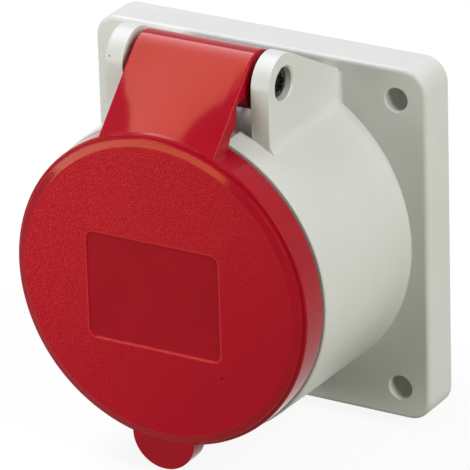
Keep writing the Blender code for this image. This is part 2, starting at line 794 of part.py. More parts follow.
def leg_slot_outline():
    """Side outline in (y, z) of the barrel's slot, which passes the spring's body leg."""
    hinge = (-HINGE_FRONT, HINGE_HEIGHT)
    reach = BARREL_RADIUS + OVERRUN
    span = radians(LEG_SLOT_DEGREES) / 2
    return [hinge, *arc(hinge, reach, -span, span, 6)]


def make_lid():
    """Red cap with its raised disc, label field, thumb tab, arm and hinge barrel."""
    lid = turned("hinge_lid", lid_outline(), PARTS)
    y, z = -HINGE_FRONT, HINGE_HEIGHT
    join(lid, arm_form())
    hook_width = 2 * ARM_HALF_WIDTH - WEB_THICKNESS
    join(lid, slab("hook_form", hook_outline(), hook_width, across(0.0)))
    tab = layer("tab_form", tab_outline(TAB_REACH, TAB_RADIUS), LID_LEDGE, TAB_BACK)
    join(lid, tab)
    hollow = layer(
        "tab_hollow", tab_outline(TAB_REACH - TAB_WALL, TAB_RADIUS - TAB_WALL),
        LID_LEDGE - TAB_WALL, TAB_BACK - OVERRUN,
    )
    keep = rod(
        "tab_hollow_keep", LID_RADIUS + LID_DRAFT, (0, -LID_FACE, 0), (0, -LID_BACK + OVERRUN, 0),
        steps=LARGE_STEPS,
    )
    cut(hollow, keep)
    label = layer(
        "label_tool",
        rounded_square(
            LABEL_WIDTH, LABEL_HEIGHT, LABEL_CORNER, centre=(LABEL_OFFSET_X, LABEL_OFFSET_Z)
        ),
        LID_FACE + OVERRUN, LID_FACE - LABEL_DEPTH,
    )
    bore = rod(
        "barrel_bore", PIN_RADIUS + GAP,
        (-ARM_HALF_WIDTH - OVERRUN, y, z), (ARM_HALF_WIDTH + OVERRUN, y, z),
    )
    pocket = slab(
        "spring_pocket", spring_pocket_outline(), 2 * SPRING_POCKET_HALF_WIDTH, across(0.0)
    )
    inside = turned("lid_inside", lid_inside_outline())
    slot = slab("leg_slot", leg_slot_outline(), LEG_SLOT_WIDTH, across(COIL_HALF_LENGTH))
    cut(lid, inside, hollow, pocket, slot, bore, label)
    finish(lid, "red", 0.3)
    return lid


def make_lid_seal():
    """Rubber ring in the lid's groove, with a rounded lip towards the collar."""
    outer, inner = GROOVE_OUTER - GAP, GROOVE_INNER + GAP
    back = MOUTH_FRONT + GAP
    floor = GROOVE_FLOOR - GAP
    lip = arc(((outer + inner) / 2, back + SEAL_WIDTH / 2), SEAL_WIDTH / 2, 0.0, -pi, 4)
    seal = turned("lid_seal", [(outer, floor), *lip, (inner, floor)], PARTS, closed=True)
    finish(seal, "black", 0.8)
    return seal


def lobed_outline(centre):
    """Outline in (y, z) of the six-lobed socket in the hinge screw's head."""
    points = []
    count = LOBE_COUNT * 6
    for i in range(count):
        angle = 2 * pi * i / count
        radius = LOBE_RADIUS * (1 + LOBE_WAVE_SHARE * cos(LOBE_COUNT * angle))
        points.append((centre[0] + radius * cos(angle), centre[1] + radius * sin(angle)))
    return points


def make_hinge_screw():
    """Hinge screw: head sunk in the right ear, tip threaded into the left ear."""
    y, z = -HINGE_FRONT, HINGE_HEIGHT
    under = EAR_OUTER_X - COUNTERBORE_DEPTH + GAP
    top = under + PIN_HEAD_THICKNESS
    tip = -EAR_INNER_X - PIN_THREAD_ENGAGEMENT
    screw = rod("hinge_screw", PIN_RADIUS, (tip, y, z), (under + SEAM, y, z), PARTS)
    head = rod(
        "hinge_screw_head", PIN_HEAD_RADIUS, (under, y, z), (top, y, z), steps=MEDIUM_STEPS
    )
    soften(head, PIN_HEAD_THICKNESS / 5, lambda p: p.x > top - SEAM, 2)
    drive = slab(
        "hinge_screw_socket", lobed_outline((y, z)), 2 * LOBE_DEPTH, across(top)
    )
    cut(join(screw, head), drive)
    finish(screw, "steel", 0.25, 1.0)
    return screw


def make_lid_spring():
    """Torsion spring round the hinge screw, one leg under the arm and one on the body."""
    y, z = -HINGE_FRONT, HINGE_HEIGHT
    count = COIL_TURNS * COIL_POINTS_PER_TURN
    start = -pi / 2
    points = []
    for i in range(count + 1):
        angle = start + 2 * pi * i / COIL_POINTS_PER_TURN
        x = COIL_HALF_LENGTH * (2 * i / count - 1)
        points.append((x, y + COIL_RADIUS * cos(angle), z + COIL_RADIUS * sin(angle)))
    lean = radians(LID_LEG_LEAN_DEGREES)
    first = Vector(points[0]) + Vector((0.0, -cos(lean), -sin(lean))) * LID_LEG_LENGTH
    floor = sqrt(SLOT_RADIUS ** 2 - COIL_HALF_LENGTH ** 2) + WIRE_RADIUS + GAP
    fall = asin((HINGE_HEIGHT - COIL_RADIUS - floor) / BODY_LEG_LENGTH)
    last = Vector(points[-1]) + Vector((0.0, cos(fall), -sin(fall))) * BODY_LEG_LENGTH
    points = [tuple(first), *points, tuple(last)]
    curve = bpy.data.curves.new("lid_spring", "CURVE")
    curve.dimensions = "3D"
    curve.bevel_depth = WIRE_RADIUS
    curve.bevel_resolution = 1
    curve.use_fill_caps = True
    spline = curve.splines.new("POLY")
    spline.points.add(len(points) - 1)
    for point, place in zip(spline.points, points):
        point.co = (*place, 1.0)
    spring = settle(new_object("lid_spring", curve, PARTS))
    finish(spring, "steel", 0.3, 1.0)
    return spring


# Insulators and contacts

def pin_radius(index):
    """Radius of the plug's pin that a contact takes."""
    return EARTH_PIN_RADIUS if index == 0 else PHASE_PIN_RADIUS


def sleeve_radius(index):
    """Outer radius of a contact sleeve."""
    return pin_radius(index) + SLEEVE_CLEARANCE + SLEEVE_WALL


def collar_radius(index):
    """Outer radius of the collar that holds a sleeve between the insulators."""
    return sleeve_radius(index) + SLEEVE_COLLAR_STEP


def clamp_radii(index):
    """Inner and outer radius of the spring ring on a sleeve."""
    inner = sleeve_radius(index) - SLEEVE_GROOVE_DEPTH + GAP
    return inner, inner + CLAMP_THICKNESS


def contact_place(index, front=0.0):
    """Point on a contact's axis."""
    return around(CONTACT_CIRCLE_RADIUS, contact_angle(index), front)


def disc(name, radius, front, back):
    """Plain round plate about the collar's axis."""
    return turned(name, [(0.0, front), (radius, front), (radius, back), (0.0, back)], PARTS)


def bores(name, radii, front, back):
    """Tools of five round holes on the contacts' axes and one for the centre screw."""
    tools = [
        rod(
            f"{name}_bore_{i}", radius, contact_place(i, front + OVERRUN),
            contact_place(i, back - OVERRUN), steps=CONTACT_STEPS,
        )
        for i, radius in enumerate(radii)
    ]
    tools.append(rod(
        f"{name}_centre_bore", CENTRE_SCREW_RADIUS + GAP,
        (0, -front - OVERRUN, 0), (0, -back + OVERRUN, 0), steps=CONTACT_STEPS,
    ))
    return tools


def make_contact_cover():
    """Front plate of the insulator, with the pins' entry holes."""
    back = INSERT_FRONT - COVER_THICKNESS
    cover = disc("contact_cover", INSERT_RADIUS, INSERT_FRONT, back)
    radii = [pin_radius(i) + PIN_ENTRY_CLEARANCE for i in range(CONTACT_COUNT)]
    cut(cover, *bores("cover", radii, INSERT_FRONT, back))
    finish(cover, "dark_grey", 0.5)
    return cover


def make_contact_carrier():
    """Long round insulator whose bores house the contact sleeves and their rings."""
    carrier = disc("contact_carrier", INSERT_RADIUS, CARRIER_FRONT, CARRIER_BACK)
    radii = [clamp_radii(i)[1] + GAP for i in range(CONTACT_COUNT)]
    cut(carrier, *bores("carrier", radii, CARRIER_FRONT, CARRIER_BACK))
    finish(carrier, "dark_grey", 0.5)
    return carrier


def make_contact_base():
    """Base plate that is screwed to the housing's shoulder and holds the sleeves' collars."""
    base = disc("contact_base", REAR_RADIUS - GAP, BASE_FRONT, BASE_BACK)
    radii = [collar_radius(i) + GAP for i in range(CONTACT_COUNT)]
    cut(base, *bores("base", radii, BASE_FRONT, BASE_BACK))
    for index, angle in enumerate(carrier_screw_places()):
        cut(base, rod(
            f"base_hole_{index}", CARRIER_SCREW_RADIUS + GAP,
            around(CARRIER_SCREW_CIRCLE, angle, BASE_FRONT + OVERRUN),
            around(CARRIER_SCREW_CIRCLE, angle, BASE_BACK - OVERRUN),
            steps=CONTACT_STEPS,
        ))
    finish(base, "dark_grey", 0.5)
    return base


def make_terminal_carrier():
    """Rear insulator: a hub with walls between the terminals, open towards their screws."""
    front, back = BASE_BACK - GAP, -TERMINAL_CARRIER_BACK
    carrier = disc("terminal_carrier", TERMINAL_CARRIER_RADIUS, front, back)
    radii = [TERMINAL_RADIUS + GAP] * CONTACT_COUNT
    cut(carrier, *bores("terminal", radii, front, back))
    half = TERMINAL_SCREW_HEAD_RADIUS + GAP
    for i in range(CONTACT_COUNT):
        opening = block(
            f"screw_opening_{i}",
            (CONTACT_CIRCLE_RADIUS, -front - OVERRUN, -half),
            (TERMINAL_CARRIER_RADIUS + OVERRUN, -back + OVERRUN, half),
        )
        opening.data.transform(Matrix.Rotation(-contact_angle(i), 4, "Y"))
        cut(carrier, opening)
    finish(carrier, "dark_grey", 0.55)
    return carrier


def make_sleeve(index, name):
    """Brass contact: slotted sleeve in front, collar, and wire terminal behind."""
    bore = pin_radius(index) + SLEEVE_CLEARANCE
    outer = sleeve_radius(index)
    groove = outer - SLEEVE_GROOVE_DEPTH
    clamp_front = SLEEVE_FRONT - CLAMP_SETBACK + GAP
    clamp_back = clamp_front - CLAMP_WIDTH - 2 * GAP
    collar_front, collar_back = BASE_FRONT, BASE_BACK
    back = -TERMINAL_BACK
    outline = [
        (0.0, SLEEVE_FRONT - SLEEVE_DEPTH),
        (bore, SLEEVE_FRONT - SLEEVE_DEPTH),
        (bore, SLEEVE_FRONT - SLEEVE_WALL / 2),
        (bore + SLEEVE_WALL / 2, SLEEVE_FRONT),
        (outer, SLEEVE_FRONT),
        (outer, clamp_front),
        (groove, clamp_front),
        (groove, clamp_back),
        (outer, clamp_back),
        (outer, collar_front),
        (collar_radius(index), collar_front),
        (collar_radius(index), collar_back),
        (TERMINAL_RADIUS, collar_back),
        (TERMINAL_RADIUS, back),
        (CONDUCTOR_RADIUS, back),
        (CONDUCTOR_RADIUS, back + WIRE_BORE_DEPTH),
        (0.0, back + WIRE_BORE_DEPTH),
    ]
    sleeve = turned(name, outline, PARTS, steps=CONTACT_STEPS)
    front, end = -SLEEVE_FRONT - OVERRUN, -SLEEVE_FRONT + SLOT_LENGTH
    reach, half = outer + OVERRUN, SLOT_WIDTH / 2
    slots = (
        block(f"slot_across_{index}", (-reach, front, -half), (reach, end, half)),
        block(f"slot_upright_{index}", (-half, front, -reach), (half, end, reach)),
    )
    cut(sleeve, *slots)
    outward = around(1.0, contact_angle(index))
    thread = rod(
        f"terminal_thread_{index}", TERMINAL_SCREW_RADIUS + GAP,
        Vector((0.0, TERMINAL_SCREW_SETBACK, 0.0)),
        Vector((0.0, TERMINAL_SCREW_SETBACK, 0.0)) + outward * reach * 2,
        steps=CONTACT_STEPS,
    )
    cut(sleeve, thread)
    sleeve.location = contact_place(index)
    for tool in (*slots, thread):
        tool.location = contact_place(index)
    finish(sleeve, "brass", 0.3, 1.0)
    return sleeve


def make_clamp(index, name):
    """Steel ring that presses a sleeve's fingers together, open at one side."""
    inner, outer = clamp_radii(index)
    front = SLEEVE_FRONT - CLAMP_SETBACK
    back = front - CLAMP_WIDTH
    outline = [(inner, front), (outer, front), (outer, back), (inner, back)]
    ring = turned(name, outline, PARTS, steps=CONTACT_STEPS, closed=True)
    opening = block(
        f"clamp_opening_{index}",
        (0.0, -front - OVERRUN, -CLAMP_OPENING / 2),
        (outer + OVERRUN, -back + OVERRUN, CLAMP_OPENING / 2),
    )
    turn = Matrix.Rotation(-contact_angle(index) - pi / 4, 4, "Y")
    opening.data.transform(turn)
    cut(ring, opening)
    ring.location = opening.location = contact_place(index)
    finish(ring, "steel", 0.3, 1.0)
    return ring


def screw_form(name, shank_radius, head_radius, head, reach, group=PARTS):
    """Slotted screw along -Z, the head's underside at the origin."""
    outline_head = rod(f"{name}_head", head_radius, (0, 0, 0), (0, 0, head), steps=CONTACT_STEPS)
    screw = rod(name, shank_radius, (0, 0, -reach), (0, 0, SEAM), group, steps=CONTACT_STEPS)
    slot = block(
        f"{name}_slot",
        (-head_radius - OVERRUN, -DRIVE_SLOT_WIDTH / 2, head - DRIVE_SLOT_DEPTH),
        (head_radius + OVERRUN, DRIVE_SLOT_WIDTH / 2, head + OVERRUN),
    )
    cut(join(screw, outline_head), slot)
    finish(screw, "steel", 0.35, 1.0)
    return screw, (outline_head, slot)


def place_screw(made, place, direction):
    """Move a screw and its tools so that its head points in a direction."""
    screw, tools = made
    turn = Vector(direction).to_track_quat("Z", "Y").to_matrix().to_4x4()
    for obj in (screw, *tools):
        obj.matrix_world = Matrix.Translation(place) @ turn
    return screw


def make_terminal_screw(index, name):
    """Clamping screw of one terminal, head outwards."""
    angle = contact_angle(index)
    under = TERMINAL_RADIUS + GAP
    made = screw_form(
        name, TERMINAL_SCREW_RADIUS, TERMINAL_SCREW_HEAD_RADIUS, TERMINAL_SCREW_HEAD,
        TERMINAL_WALL,
    )
    place = contact_place(index, -TERMINAL_SCREW_SETBACK) + around(under, angle)
    return place_screw(made, place, around(1.0, angle))


def hang_lid():
    """Hang the lid and its seal on an empty on the hinge axis."""
    pivot = new_object("lid_pivot", None, PARTS)
    pivot.location = (0.0, -HINGE_FRONT, HINGE_HEIGHT)
    for name in ("hinge_lid", "lid_seal"):
        obj = PARTS.objects[name]
        obj.parent = pivot
        obj.matrix_parent_inverse = Matrix.Translation(-pivot.location)


def make_carrier_screws():
    """Three screws that hold the base plate in the housing, and the long centre screw."""
    for number, angle in enumerate(carrier_screw_places(), start=1):
        made = screw_form(
            f"carrier_screw_{number}", CARRIER_SCREW_RADIUS, CARRIER_SCREW_HEAD_RADIUS,
            CARRIER_SCREW_HEAD, CARRIER_SCREW_REACH - BASE_BACK + GAP,
        )
        place_screw(made, around(CARRIER_SCREW_CIRCLE, angle, BASE_BACK - GAP), (0, 1, 0))
    under = TERMINAL_CARRIER_BACK + GAP
    made = screw_form(
        "centre_screw", CENTRE_SCREW_RADIUS, CENTRE_SCREW_HEAD_RADIUS, CENTRE_SCREW_HEAD,
        under + INSERT_FRONT - COVER_THICKNESS / 2,
    )
    place_screw(made, (0.0, under, 0.0), (0, 1, 0))


def main():
    """Build every piece of the socket."""
    make_housing()
    make_flange_seal()
    make_lid()
    make_lid_seal()
    make_hinge_screw()
    make_lid_spring()
    make_contact_cover()
    make_contact_carrier()
    make_contact_base()
    make_terminal_carrier()
    for index, name in enumerate(("earth", "line_1", "line_2", "line_3", "neutral")):
        make_sleeve(index, f"sleeve_{name}")
        make_clamp(index, f"sleeve_ring_{name}")
        make_terminal_screw(index, f"terminal_screw_{name}")
    make_carrier_screws()
    hang_lid()


main()
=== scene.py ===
"""Dressed model of a pin and sleeve panel socket.

A square flanged housing in light grey plastic carries a red lid on a hinge screw. The
contact sleeves stand in an insulator inside the collar, and their terminals lie behind
the panel. Pieces are modelled in millimetres and then brought to the frame's metres.
The socket's axis is the Y axis, the panel's plane is y = 0 and the lid faces -Y.
"""

from __future__ import annotations

import logging
import math
from dataclasses import dataclass, field
from enum import Enum
from typing import Any, Callable, Sequence

import bmesh
import bpy
from mathutils import Matrix, Vector

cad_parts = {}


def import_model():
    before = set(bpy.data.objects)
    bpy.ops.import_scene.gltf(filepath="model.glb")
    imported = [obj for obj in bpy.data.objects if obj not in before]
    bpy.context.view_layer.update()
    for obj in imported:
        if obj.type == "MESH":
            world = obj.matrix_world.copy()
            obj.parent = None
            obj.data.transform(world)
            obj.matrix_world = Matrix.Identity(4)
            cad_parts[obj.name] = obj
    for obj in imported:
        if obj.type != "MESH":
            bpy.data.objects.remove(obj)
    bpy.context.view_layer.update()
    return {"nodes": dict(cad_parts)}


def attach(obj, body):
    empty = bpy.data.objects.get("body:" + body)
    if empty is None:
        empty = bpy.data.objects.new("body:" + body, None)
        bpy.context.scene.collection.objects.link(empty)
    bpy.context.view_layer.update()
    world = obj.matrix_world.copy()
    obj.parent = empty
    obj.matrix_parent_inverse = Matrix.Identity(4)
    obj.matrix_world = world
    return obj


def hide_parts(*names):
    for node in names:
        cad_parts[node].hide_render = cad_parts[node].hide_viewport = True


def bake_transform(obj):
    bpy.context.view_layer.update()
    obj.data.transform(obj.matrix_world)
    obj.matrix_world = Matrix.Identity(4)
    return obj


LOG = logging.getLogger("panel_socket")
METRE = 0.001
# Millimetres within which doubled points are merged.
WELD = 0.0004
# Millimetres that a cutting tool runs past the face it cuts.
PAST = 1.0
# Millimetres that take a tool past the whole housing.
REACH = 60.0
# Millimetres within which two places count as one.
NEAR = 0.01
# Facets round the housing's body and the tools that follow it.
FINE_TURN = 200
# Radius of the circle on which the insulator's screws stand, and their number.
SCREW_CIRCLE = 29.45
SCREW_COUNT = 3
# Half the distance between two neighbouring fixing holes.
FIXING = 35.0
# Signs of x and z at the four corners, in turn.
CORNERS = ((1, 1), (-1, 1), (-1, -1), (1, -1))
WHITE = (1.0, 1.0, 1.0, 1.0)
PLASTIC_IOR = 1.5
NORMAL_WEIGHT = 80
NOISE_ROUGHNESS = 0.55
Point = tuple[float, float]
Place = tuple[float, float, float]
Colour = tuple[float, float, float]
Solid = bpy.types.Object


class Body(Enum):
    """The two rigid bodies of the socket."""

    SOCKET = "socket"
    LID = "lid"


class Slot(Enum):
    """Material slots of the record."""

    GREY = "grey_plastic"
    RED = "red_plastic"
    DARK = "dark_plastic"
    RUBBER = "seal_rubber"
    BRASS = "contact_brass"
    STEEL = "steel"


class Join(Enum):
    """Ways to combine two solids."""

    FUSE = "UNION"
    CARVE = "DIFFERENCE"


class Bench:
    """Short calls for the operators that the pieces share."""

    @staticmethod
    def clear() -> None:
        """Leave edit mode and select nothing."""
        if bpy.context.object and bpy.context.object.mode != "OBJECT":
            bpy.ops.object.mode_set(mode="OBJECT")
        bpy.ops.object.select_all(action="DESELECT")

    @classmethod
    def hold(cls, obj: Solid) -> None:
        """Make one object the only selected and active one."""
        cls.clear()
        obj.select_set(True)
        bpy.context.view_layer.objects.active = obj

    @classmethod
    def edit(cls, obj: Solid, select: bool = True) -> None:
        """Enter edit mode on one object, with all or nothing selected."""
        cls.hold(obj)
        bpy.ops.object.mode_set(mode="EDIT")
        bpy.ops.mesh.select_all(action="SELECT" if select else "DESELECT")

    @classmethod
    def dot(cls, name: str, place: Place) -> Solid:
        """Add a mesh of one point, in edit mode.

        Args:
            name: Name of the new object.
            place: Where the point lies.

        Returns:
            The object, which stays in edit mode.
        """
        cls.clear()
        bpy.ops.mesh.primitive_plane_add(size=1.0)
        obj = bpy.context.object
        obj.name = name
        bpy.ops.object.mode_set(mode="EDIT")
        bpy.ops.mesh.select_all(action="SELECT")
        bpy.ops.mesh.merge(type="CENTER")
        bpy.ops.transform.translate(value=place)
        return obj

    @classmethod
    def chain(cls, name: str, places: Sequence[Place], closed: bool) -> Solid:
        """Draw a line of edges by extruding one point from place to place.

        Args:
            name: Name of the new object.
            places: Corners of the line.
            closed: Whether an edge joins the last corner to the first.

        Returns:
            The object, in edit mode with everything selected.
        """
        obj = cls.dot(name, places[0])
        for here, there in zip(places, places[1:]):
            step = Vector(there) - Vector(here)
            bpy.ops.mesh.extrude_vertices_move(TRANSFORM_OT_translate={"value": step})
        if closed:
            bpy.ops.mesh.select_all(action="DESELECT")
            form = bmesh.from_edit_mesh(obj.data)
            ends = [v for v in form.verts if len(v.link_edges) == 1]
            for vert in ends:
                vert.select = True
            form.select_flush_mode()
            bmesh.update_edit_mesh(obj.data)
            bpy.ops.mesh.edge_face_add()
        bpy.ops.mesh.select_all(action="SELECT")
        return obj

    @classmethod
    def turned(
        cls,
        name: str,
        outline: Sequence[Point],
        steps: int = 160,
        closed: bool = False,
    ) -> Solid:
        """Spin an outline about the Y axis.

        Args:
            name: Name of the new object.
            outline: Corners as radius and distance in front of the panel.
            steps: Facets round the turn.
            closed: Whether the outline is a ring's section rather than a solid's half.

        Returns:
            The turned solid.
        """
        places = [(radius, -front, 0.0) for radius, front in outline]
        obj = cls.chain(name, places, closed)
        bpy.ops.mesh.spin(
            steps=steps, angle=2 * math.pi, center=(0, 0, 0), axis=(0, 1, 0)
        )
        cls.seal()
        return obj

    @staticmethod
    def seal() -> None:
        """Merge doubled points and turn the faces outwards, from edit mode."""
        bpy.ops.mesh.select_all(action="SELECT")
        bpy.ops.mesh.remove_doubles(threshold=WELD)
        bpy.ops.mesh.normals_make_consistent(inside=False)
        bpy.ops.object.mode_set(mode="OBJECT")

    @classmethod
    def plate(
        cls, name: str, places: Sequence[Place], depth: Place
    ) -> Solid:
        """Fill a flat outline and extrude it.

        Args:
            name: Name of the new object.
            places: Corners of the outline.
            depth: The extrusion's direction and length.

        Returns:
            The solid plate.
        """
        obj = cls.chain(name, places, closed=True)
        bpy.ops.mesh.edge_face_add()
        bpy.ops.mesh.extrude_region_move(TRANSFORM_OT_translate={"value": depth})
        cls.seal()
        return obj

    @classmethod
    def layer(
        cls, name: str, outline: Sequence[Point], front: float, back: float
    ) -> Solid:
        """Plate of an outline in x and z, between two distances in front of the panel."""
        places = [(x, -front, z) for x, z in outline]
        return cls.plate(name, places, (0.0, front - back, 0.0))

    @classmethod
    def side_plate(
        cls, name: str, outline: Sequence[Point], low: float, high: float
    ) -> Solid:
        """Plate of an outline in y and z, between two places across the socket."""
        places = [(low, y, z) for y, z in outline]
        return cls.plate(name, places, (high - low, 0.0, 0.0))

    @classmethod
    def block(cls, name: str, low: Place, high: Place) -> Solid:
        """Box between two corners.

        Args:
            name: Name of the new object.
            low: Its corner with the least coordinates.
            high: The corner opposite.

        Returns:
            The box.
        """
        cls.clear()
        middle = (Vector(low) + Vector(high)) / 2
        bpy.ops.mesh.primitive_cube_add(size=1.0, location=middle)
        obj = bpy.context.object
        obj.name = name
        obj.scale = Vector(high) - Vector(low)
        bpy.ops.object.transform_apply(location=True, rotation=True, scale=True)
        return obj

    @classmethod
    def rod(
        cls,
        name: str,
        radius: float,
        start: Place,
        end: Place,
        steps: int = 64,
    ) -> Solid:
        """Cylinder between two points.

        Args:
            name: Name of the new object.
            radius: Its radius.
            start: Middle of its first end.
            end: Middle of its other end.
            steps: Facets round it.

        Returns:
            The cylinder.
        """
        cls.clear()
        begin, finish = Vector(start), Vector(end)
        along = finish - begin
        bpy.ops.mesh.primitive_cylinder_add(
            vertices=steps,
            radius=radius,
            depth=along.length,
            location=(begin + finish) / 2,
            rotation=along.to_track_quat("Z", "Y").to_euler(),
        )
        obj = bpy.context.object
        obj.name = name
        bpy.ops.object.transform_apply(location=True, rotation=True, scale=True)
        return obj

    @classmethod
    def skin(
        cls, name: str, rings: Sequence[Sequence[Place]]
    ) -> Solid:
        """Loft between rings with the same number of corners, capped at both ends.

        Args:
            name: Name of the new object.
            rings: Corners of each ring, from one end to the other.

        Returns:
            The solid.
        """
        cls.clear()
        form = bmesh.new()
        rows = [[form.verts.new(place) for place in ring] for ring in rings]
        for row, following in zip(rows, rows[1:]):
            count = len(row)
            for i in range(count):
                j = (i + 1) % count
                form.faces.new((row[i], following[i], following[j], row[j]))
        form.faces.new(rows[0])
        form.faces.new(list(reversed(rows[-1])))
        mesh = bpy.data.meshes.new(name)
        form.to_mesh(mesh)
        form.free()
        obj = bpy.data.objects.new(name, mesh)
        bpy.context.scene.collection.objects.link(obj)
        cls.edit(obj)
        cls.seal()
        return obj

    @classmethod
    def swept(
        cls, name: str, places: Sequence[Place], radius: float, steps: int = 12
    ) -> Solid:
        """Round wire along a path.

        Args:
            name: Name of the new object.
            places: Points of the path.
            radius: The wire's radius.
            steps: Facets round the wire.

        Returns:
            The wire, capped at both ends.
        """
        path = [Vector(place) for place in places]
        aside = (path[1] - path[0]).orthogonal().normalized()
        rings: list[list[Place]] = []
        for i, point in enumerate(path):
            before, after = path[max(i - 1, 0)], path[min(i + 1, len(path) - 1)]
            along = (after - before).normalized()
            aside = (aside - along * aside.dot(along)).normalized()
            over = along.cross(aside)
            turns = [math.tau * k / steps for k in range(steps)]
            rings.append([
                tuple(point + radius * (math.cos(t) * aside + math.sin(t) * over))
                for t in turns
            ])
        return cls.skin(name, rings)

    @classmethod
    def combine(
        cls, target: Solid, how: Join, *tools: Solid
    ) -> Solid:
        """Fuse or carve a target with tools, which are used up.

        Args:
            target: The solid that stays.
            how: Whether the tools are added or taken away.
            tools: The solids to combine with it.

        Returns:
            The target.
        """
        for tool in tools:
            cls.hold(target)
            modifier = target.modifiers.new(tool.name, "BOOLEAN")
            modifier.operation = how.value
            modifier.solver = "EXACT"
            modifier.object = tool
            bpy.ops.object.modifier_apply(modifier=modifier.name)
            bpy.data.objects.remove(tool, do_unlink=True)
        return target

    @classmethod
    def fuse(
        cls, target: Solid, *tools: Solid
    ) -> Solid:
        """Add tools to a target."""
        return cls.combine(target, Join.FUSE, *tools)

    @classmethod
    def carve(
        cls, target: Solid, *tools: Solid
    ) -> Solid:
        """Take tools away from a target."""
        return cls.combine(target, Join.CARVE, *tools)

    @classmethod
    def round_edges(
        cls,
        obj: Solid,
        width: float,
        chosen: Callable[[Vector], bool],
        segments: int = 4,
        turn: float = 30.0,
    ) -> Solid:
        """Bevel the edges whose two ends pass a test.

        Args:
            obj: The solid.
            width: Width of the rounding.
            chosen: Test of a point.
            segments: Facets across the rounding.
            turn: Least angle in degrees between an edge's two faces.

        Returns:
            The solid.
        """
        cls.edit(obj, select=False)
        bpy.ops.mesh.select_mode(type="EDGE")
        form = bmesh.from_edit_mesh(obj.data)
        for edge in form.edges:
            sharp = edge.calc_face_angle(0.0) > math.radians(turn)
            edge.select = sharp and all(chosen(vert.co) for vert in edge.verts)
        bmesh.update_edit_mesh(obj.data)
        bpy.ops.mesh.bevel(
            offset=width, segments=segments, profile=0.5, affect="EDGES", clamp_overlap=True
        )
        bpy.ops.mesh.select_mode(type="VERT")
        bpy.ops.object.mode_set(mode="OBJECT")
        return obj

    @classmethod
    def move(
        cls, obj: Solid, place: Place | Vector, turn: Matrix | None = None
    ) -> Solid:
        """Turn and move a piece, with its place kept in its mesh.

        Args:
            obj: The piece.
            place: How far it moves.
            turn: How it is turned before that, if at all.

        Returns:
            The piece.
        """
        cls.hold(obj)
        matrix = Matrix.Translation(place)
        obj.matrix_world = matrix @ turn.to_4x4() if turn else matrix
        bpy.ops.object.transform_apply(location=True, rotation=True, scale=True)
        return obj

    @classmethod
    def copy(cls, obj: Solid, name: str) -> Solid:
        """Copy a piece with a mesh of its own.

        Args:
            obj: The piece to copy.
            name: The copy's name.

        Returns:
            The copy.
        """
        twin = obj.copy()
        twin.data = obj.data.copy()
        twin.name = name
        bpy.context.scene.collection.objects.link(twin)
        return twin

    @classmethod
    def finish(cls, obj: Solid, angle: float = 32.0) -> Solid:
        """Bring a piece to metres and smooth its round faces.

        Args:
            obj: The piece in millimetres.
            angle: Edges that turn by more degrees than this stay sharp.

        Returns:
            The piece.
        """
        cls.hold(obj)
        obj.scale = (METRE, METRE, METRE)
        bpy.ops.object.transform_apply(location=True, rotation=True, scale=True)
        bpy.ops.object.shade_smooth_by_angle(angle=math.radians(angle))
        bpy.ops.object.modifier_add(type="WEIGHTED_NORMAL")
        weighted = obj.modifiers[-1]
        weighted.keep_sharp = True
        weighted.weight = NORMAL_WEIGHT
        bpy.ops.object.modifier_apply(modifier=weighted.name)
        cls.clear()
        return obj


def arc(centre: Point, radius: float, start: float, end: float, steps: int) -> list[Point]:
    """Points along an arc, both ends included.

    Args:
        centre: Middle of the arc.
        radius: Its radius.
        start: First angle in degrees.
        end: Last angle in degrees.
        steps: Number of spans.

    Returns:
        The points, from the first angle to the last.
    """
    spans = [math.radians(start + (end - start) * i / steps) for i in range(steps + 1)]
    return [
        (centre[0] + radius * math.cos(a), centre[1] + radius * math.sin(a)) for a in spans
    ]


def rounded_rectangle(
    width: float, height: float, corner: float, centre: Point = (0.0, 0.0), steps: int = 8
) -> list[Point]:
    """Outline of a rectangle with round corners.

    Args:
        width: Size in x.
        height: Size in z.
        corner: Radius of its corners.
        centre: Its middle.
        steps: Spans in each corner.

    Returns:
        The corners of the outline, in x and z.
    """
    points: list[Point] = []
    for quarter, (across, up) in enumerate(CORNERS):
        middle = (
            centre[0] + across * (width / 2 - corner),
            centre[1] + up * (height / 2 - corner),
        )
        points += arc(middle, corner, 90.0 * quarter, 90.0 * quarter + 90.0, steps)
    return points


def between(start: Point, end: Point, share: float) -> Point:
    """Point at a share of the way from one point to another."""
    return (start[0] + (end[0] - start[0]) * share, start[1] + (end[1] - start[1]) * share)


def around(radius: float, degrees: float, front: float = 0.0) -> Vector:
    """Point on a circle about the socket's axis.

    Args:
        radius: The circle's radius.
        degrees: Direction, from +X towards +Z.
        front: How far the point lies in front of the panel.

    Returns:
        The point.
    """
    angle = math.radians(degrees)
    return Vector((radius * math.cos(angle), -front, radius * math.sin(angle)))


def screw_spot(index: int, front: float = 0.0) -> Vector:
    """Point on the axis of one of the screws that hold the insulator."""
    return around(SCREW_CIRCLE, 90.0 + 360.0 / SCREW_COUNT * index, front)


